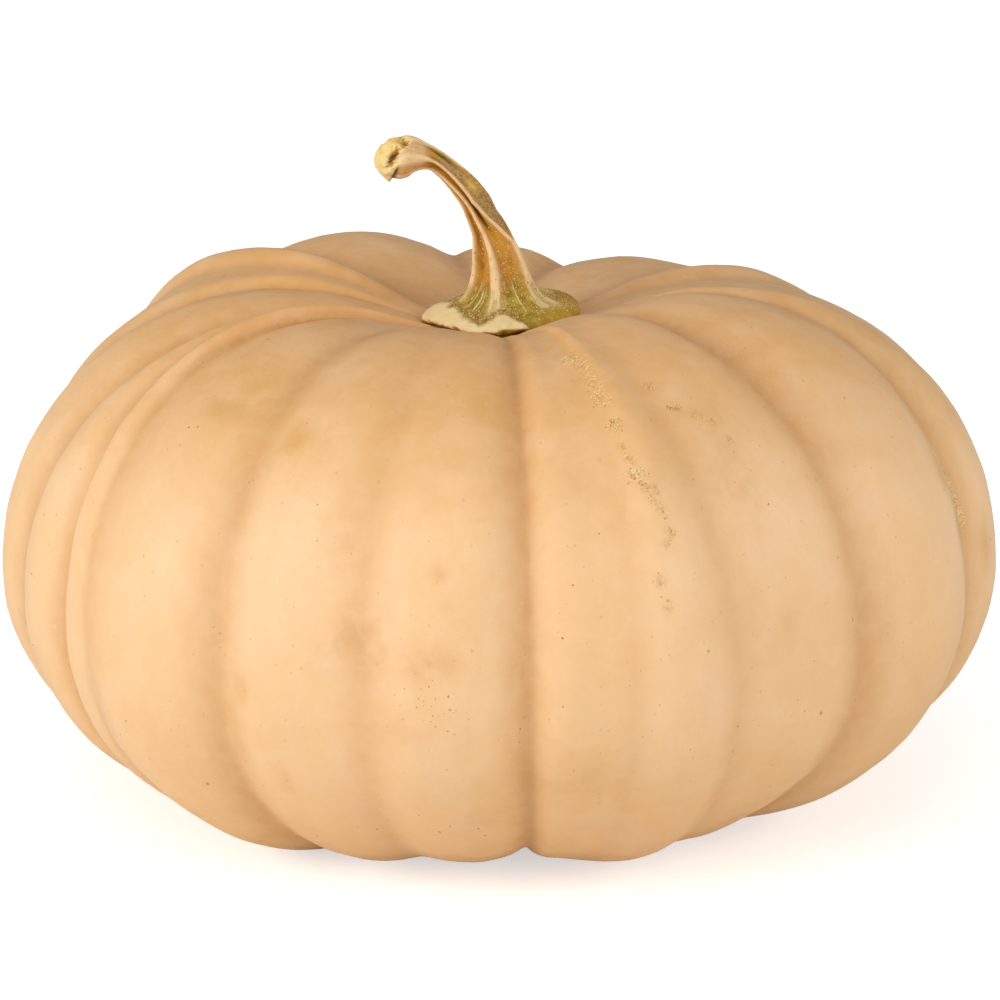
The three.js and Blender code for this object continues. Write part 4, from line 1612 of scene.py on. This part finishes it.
@dataclass(frozen=True)
class Scatter:
    """Crumbs strewn over a piece where one of its attributes allows, half sunk into it.

    Density is how many lie on a square metre where the attribute is 1, and size is in millimetres.
    """

    name: str
    slot: Slot
    finish: CrumbFinish
    host: bpy.types.Object
    share: str
    density: float
    size: tuple[float, float]
    flatness: float
    seed: int

    def build(self) -> bpy.types.Object:
        """Strews the crumbs.

        Returns:
            The piece that holds them all.
        """
        recipe = Recipe(self.name)
        wiring = recipe.wiring
        density = recipe.take("Crumbs in a square metre", self.density)
        seed = recipe.take("Seed", self.seed, "NodeSocketInt")
        spots = wiring.node(
            "GeometryNodeDistributePointsOnFaces",
            {"Mesh": recipe.geometry, "Density": recipe.attribute(self.share) * density, "Seed": seed},
            distribute_method="RANDOM",
        )
        low, high = (value * MILLIMETRE for value in self.size)
        smallest, largest = recipe.take("Smallest", low), recipe.take("Largest", high)
        span = recipe.chance(0.0, 1.0, seed)
        size = smallest + (largest - smallest) * span * span
        spin = wiring.node(
            "FunctionNodeRandomValue", {0: (-0.4, -0.4, -3.1), 1: (0.4, 0.4, 3.1), "Seed": seed}, 0,
            data_type="FLOAT_VECTOR",
        )
        turned = wiring.node(
            "FunctionNodeRotateRotation", {0: spots.also("Rotation"), 1: spin}, rotation_space="LOCAL"
        )
        long = recipe.chance(0.8, 1.3, seed)
        scale = wiring.join(size * long, size, size * recipe.take("Flatness", self.flatness))
        recipe.close(recipe.crumbs(spots, turned, scale), self.finish.material())
        host = place_object(self.name + "_host", self.host.data.copy())
        piece = recipe.run(host, self.name)
        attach(piece, "root")
        return piece


@dataclass(frozen=True)
class Strewn:
    """Crumbs or specks that lie in clumps on the skin, each turned to face out of it.

    Share is the part of each clump's count that this piece has, and size is in millimetres.
    """

    name: str
    finish: CrumbFinish
    fruit: Fruit
    clumps: tuple[Clump, ...]
    share: float
    size: tuple[float, float]
    flatness: float
    seed: int

    def _blank(self) -> bpy.types.Object:
        """One point for each clump, with its two half sizes as directions and its count.

        Returns:
            The blank.
        """
        centres, across, down, counts = [], [], [], []
        for clump in self.clumps:
            centre = self.fruit.on_skin(clump.place, clump.drop)
            lower = self.fruit.on_skin(clump.place, clump.drop + 1) - centre
            lower = lower / np.linalg.norm(lower)
            right = np.array([-centre[1], centre[0], 0.0])
            right = right / np.linalg.norm(right)
            slant = math.radians(clump.slant)
            centres.append(centre * MILLIMETRE)
            across.append((right * math.cos(slant) + lower * math.sin(slant)) * clump.across * MILLIMETRE)
            down.append((lower * math.cos(slant) - right * math.sin(slant)) * clump.down * MILLIMETRE)
            counts.append(clump.count * self.share)
        mesh = bpy.data.meshes.new(self.name)
        mesh.from_pydata([tuple(centre) for centre in centres], [], [])
        for title, rows in (("across", across), ("down", down), ("many", counts)):
            store(mesh, title, np.array(rows))
        return place_object(self.name, mesh)

    def build(self) -> bpy.types.Object:
        """Strews them.

        Returns:
            The piece that holds them all.
        """
        recipe = Recipe(self.name)
        wiring = recipe.wiring
        seed = recipe.take("Seed", self.seed, "NodeSocketInt")
        ground = recipe.host(self.fruit.piece)
        copies = {"Geometry": recipe.geometry, "Amount": recipe.attribute("many")}
        many = wiring.node("GeometryNodeDuplicateElements", copies, domain="POINT")
        index = wiring.node("GeometryNodeInputIndex")
        steps = [recipe.chance(-1.0, 1.0, seed + k, ID=index) for k in range(4)]
        sideways = wiring.stretch(recipe.attribute("across", "FLOAT_VECTOR"), (steps[0] + steps[1]) * 0.9)
        downward = wiring.stretch(recipe.attribute("down", "FLOAT_VECTOR"), (steps[2] + steps[3]) * 0.9)
        loose = wiring.node(
            "GeometryNodeSetPosition", {"Geometry": many, "Offset": wiring.vector("ADD", sideways, downward)}
        )
        nearest = wiring.node("GeometryNodeProximity", {0: ground}, target_element="FACES")
        settled = recipe.move(loose, nearest)
        normal = wiring.node("GeometryNodeInputNormal")
        facing = wiring.node(
            "GeometryNodeSampleNearestSurface", {"Mesh": ground, "Value": normal}, data_type="FLOAT_VECTOR"
        )
        upright = wiring.node("FunctionNodeAlignRotationToVector", {"Vector": facing}, axis="Z")
        spin = recipe.chance(-3.1, 3.1, seed + 9)
        turned = wiring.node(
            "FunctionNodeRotateRotation", {0: upright, 1: wiring.join(0.0, 0.0, spin)}, rotation_space="LOCAL"
        )
        low, high = (value * MILLIMETRE for value in self.size)
        span = recipe.chance(0.0, 1.0, seed + 5)
        size = recipe.take("Smallest", low) + recipe.take("Growth", high - low) * span * span
        long = recipe.chance(0.8, 1.7, seed + 6)
        scale = wiring.join(size * long, size, size * recipe.take("Flatness", self.flatness))
        recipe.close(recipe.crumbs(settled, turned, scale), self.finish.material())
        piece = recipe.run(self._blank(), self.name)
        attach(piece, "root")
        return piece


@dataclass(frozen=True)
class Threads:
    """Short fine corky threads that lie on the skin along a trail.

    Length, thickness and how far they stray from the trail are in millimetres, and the lean in radians.
    """

    name: str
    fruit: Fruit
    knots: tuple
    count: int
    length: tuple[float, float]
    thickness: float
    spread: float
    lean: tuple[float, float]
    seed: int
    finish: CrumbFinish = WHITISH_THREAD

    def build(self) -> bpy.types.Object:
        """Lays the threads.

        Returns:
            The piece that holds them all.
        """
        recipe = Recipe(self.name)
        wiring = recipe.wiring
        seed = recipe.take("Seed", self.seed, "NodeSocketInt")
        count = recipe.take("Count", self.count, "NodeSocketInt")
        ground = recipe.host(self.fruit.piece)
        split = {"Curve": recipe.geometry, "Count": count}
        spots = wiring.node("GeometryNodeCurveToPoints", split, mode="COUNT")
        spread = recipe.take("Spread", self.spread * MILLIMETRE)
        stray = wiring.node(
            "FunctionNodeRandomValue", {0: (-1.0, -1.0, -1.0), 1: (1.0, 1.0, 1.0), "Seed": seed}, 0,
            data_type="FLOAT_VECTOR",
        )
        shift = {"Geometry": spots, "Offset": wiring.stretch(stray, spread)}
        strewn = wiring.node("GeometryNodeSetPosition", shift)
        arc = wiring.node(
            "GeometryNodeCurveQuadraticBezier",
            {"Resolution": 9, "Start": (-0.5, 0.0, 0.0), "Middle": (0.0, 0.35, 0.0), "End": (0.5, 0.0, 0.0)},
        )
        low, high = (value * MILLIMETRE for value in self.length)
        size = recipe.chance(low, high, seed)
        lean = recipe.chance(*self.lean, seed)
        laid = wiring.node(
            "GeometryNodeInstanceOnPoints",
            {"Points": strewn, "Instance": arc, "Rotation": wiring.join(math.pi / 2, 0.0, 0.0),
             "Scale": wiring.join(size, size, size)},
        )
        leaning = {"Instances": laid, "Rotation": wiring.join(0.0, lean, 0.0)}
        laid = wiring.node("GeometryNodeRotateInstances", leaning)
        real = wiring.node("GeometryNodeRealizeInstances", {0: laid})
        nearest = wiring.node("GeometryNodeProximity", {0: ground}, target_element="FACES")
        settled = recipe.move(real, nearest)
        profile = wiring.node(
            "GeometryNodeCurvePrimitiveCircle", {"Resolution": 6, "Radius": self.thickness * MILLIMETRE}
        )
        sweep = {"Curve": settled, "Profile Curve": profile, "Fill Caps": True}
        recipe.close(wiring.node("GeometryNodeCurveToMesh", sweep), self.finish.material())
        path = polyline(self.name + "_path", self.fruit.trail(self.knots))
        piece = recipe.run(path, self.name)
        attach(piece, "root")
        return piece


@dataclass(frozen=True)
class Lamp:
    """Square soft light that faces the pumpkin; metres and watts."""

    name: str
    place: tuple[float, float, float]
    size: float
    power: float

    def hang(self, aim: Vector) -> None:
        """Adds the light.

        Args:
            aim: where it faces.
        """
        data = bpy.data.lights.new(self.name, "AREA")
        data.size = self.size
        data.energy = self.power
        lamp = place_object(self.name, data)
        lamp.location = self.place
        lamp.rotation_euler = (aim - Vector(self.place)).to_track_quat("-Z", "Y").to_euler()


@dataclass(frozen=True)
class Studio:
    """Pale floor, soft daylight-white lights and the camera at the photograph's angle."""

    elevation: float = 17.0
    distance: float = 1.5
    lens: float = 176.7
    shift: tuple[float, float] = (0.0028, 0.0504)
    aim: tuple[float, float, float] = (0.0, 0.0, 0.0734)
    floor_radius: float = 6.0
    floor_sides: int = 64
    floor_tone: float = 0.88
    floor_glow: float = 0.56
    sky: float = 0.277
    lamps: tuple[Lamp, ...] = (
        Lamp("left", (-3.36, -1.79, 1.24), 2.6, 106.0),
        Lamp("right", (3.15, -1.97, 1.5), 2.6, 69.0),
        Lamp("above", (-0.5, -2.2, 3.3), 2.6, 28.0),
        Lamp("behind", (0.0, 3.3, 2.3), 2.6, 8.0),
    )

    def _camera(self) -> None:
        """Adds the camera and makes it the scene's."""
        data = bpy.data.cameras.new("view")
        data.lens = self.lens
        data.sensor_width = 36.0
        data.shift_x, data.shift_y = self.shift
        data.clip_end = 50.0
        camera = place_object("view", data)
        tilt = math.radians(self.elevation)
        offset = Vector((0.0, -math.cos(tilt), math.sin(tilt))) * self.distance
        camera.location = Vector(self.aim) + offset
        camera.rotation_euler = (math.pi / 2 - tilt, 0.0, 0.0)
        bpy.context.scene.camera = camera

    def _floor(self) -> None:
        """Adds the floor, a pale disc."""
        mesh = bpy.data.meshes.new("floor")
        angles = [k * FULL_TURN / self.floor_sides for k in range(self.floor_sides)]
        corners = [(self.floor_radius * math.cos(a), self.floor_radius * math.sin(a), 0.0) for a in angles]
        mesh.from_pydata(corners, [], [tuple(range(self.floor_sides))])
        floor = place_object("floor", mesh)
        made = Dresser("pale floor")
        tone = self.floor_tone
        seen = made.wiring.node("ShaderNodeLightPath", output="Is Camera Ray")
        made.set(
            Base_Color=(tone, tone, tone, 1.0), Roughness=0.9, Specular_IOR_Level=0.2,
            Emission_Color=(1.0, 1.0, 1.0, 1.0), Emission_Strength=seen * self.floor_glow,
        )
        mesh.materials.append(made.material)

    def build(self) -> None:
        """Sets up camera, floor, sky and lights."""
        self._camera()
        self._floor()
        world = bpy.data.worlds.new("sky")
        world.use_nodes = True
        light = world.node_tree.nodes["Background"].inputs
        light["Color"].default_value = (1.0, 1.0, 1.0, 1.0)
        light["Strength"].default_value = self.sky
        scene = bpy.context.scene
        scene.world = world
        scene.view_settings.view_transform = "Standard"
        for lamp in self.lamps:
            lamp.hang(Vector(self.aim))


def main() -> None:
    """Builds the pieces in order and reports each one."""
    logging.basicConfig(level=logging.INFO, format="%(message)s")
    studio = Studio()
    studio.build()
    log.info("studio ready")
    fruit = Fruit()
    fruit.build()
    fruit.dress()
    log.info("fruit: %d faces", len(fruit.piece.data.polygons))
    stem = Stem(fruit)
    stem.build()
    stem.dress()
    log.info("stem: %d faces", len(stem.piece.data.polygons))
    layers = (
        Scatter("stem_grit", Slot.STEM, CREAM_GRIT, stem.piece, "grit", 1_900_000.0, (0.11, 0.27), 0.8, 4),
        Scatter("stem_rust", Slot.STEM, RUSTY_GRIT, stem.piece, "rust", 700_000.0, (0.1, 0.26), 0.6, 14),
        Strewn("scar_pits", OCHRE_CORK, fruit, SCARS, 0.55, (0.14, 0.34), 0.3, 21),
        Strewn("scar_holes", BROWN_HOLES, fruit, PITS, 1.0, (0.2, 0.42), 0.3, 51),
        Strewn("scar_crumbs", PALE_CORK, fruit, SCARS, 1.0, (0.09, 0.24), 0.7, 31),
        Strewn("skin_specks", BROWN_SPECKS, fruit, SPECKS, 1.0, (0.12, 0.3), 0.25, 41),
        Threads("upper_scar_threads", fruit, UPPER_TRAIL, 20, (1.2, 4.2), 0.1, 2.2, (-0.5, 1.2), 5),
        Threads("upper_scar_net", fruit, UPPER_TRAIL, 40, (0.6, 1.6), 0.08, 2.0, (-1.6, 1.6), 15),
        Threads("middle_scar_net", fruit, MIDDLE_TRAIL, 44, (0.6, 1.7), 0.08, 1.4, (-1.6, 1.6), 6),
        Threads("scar_ring", fruit, RING_TRAIL, 22, (0.8, 1.8), 0.1, 1.2, (-1.6, 1.6), 16),
        Threads("crack_threads", fruit, CRACK_TRAIL, 26, (2.2, 4.2), 0.2, 0.5, (0.85, 1.3), 8),
    )
    for layer in layers:
        piece = layer.build()
        log.info("%s: %d faces", layer.name, len(piece.data.polygons))


if __name__ == "__main__":
    main()
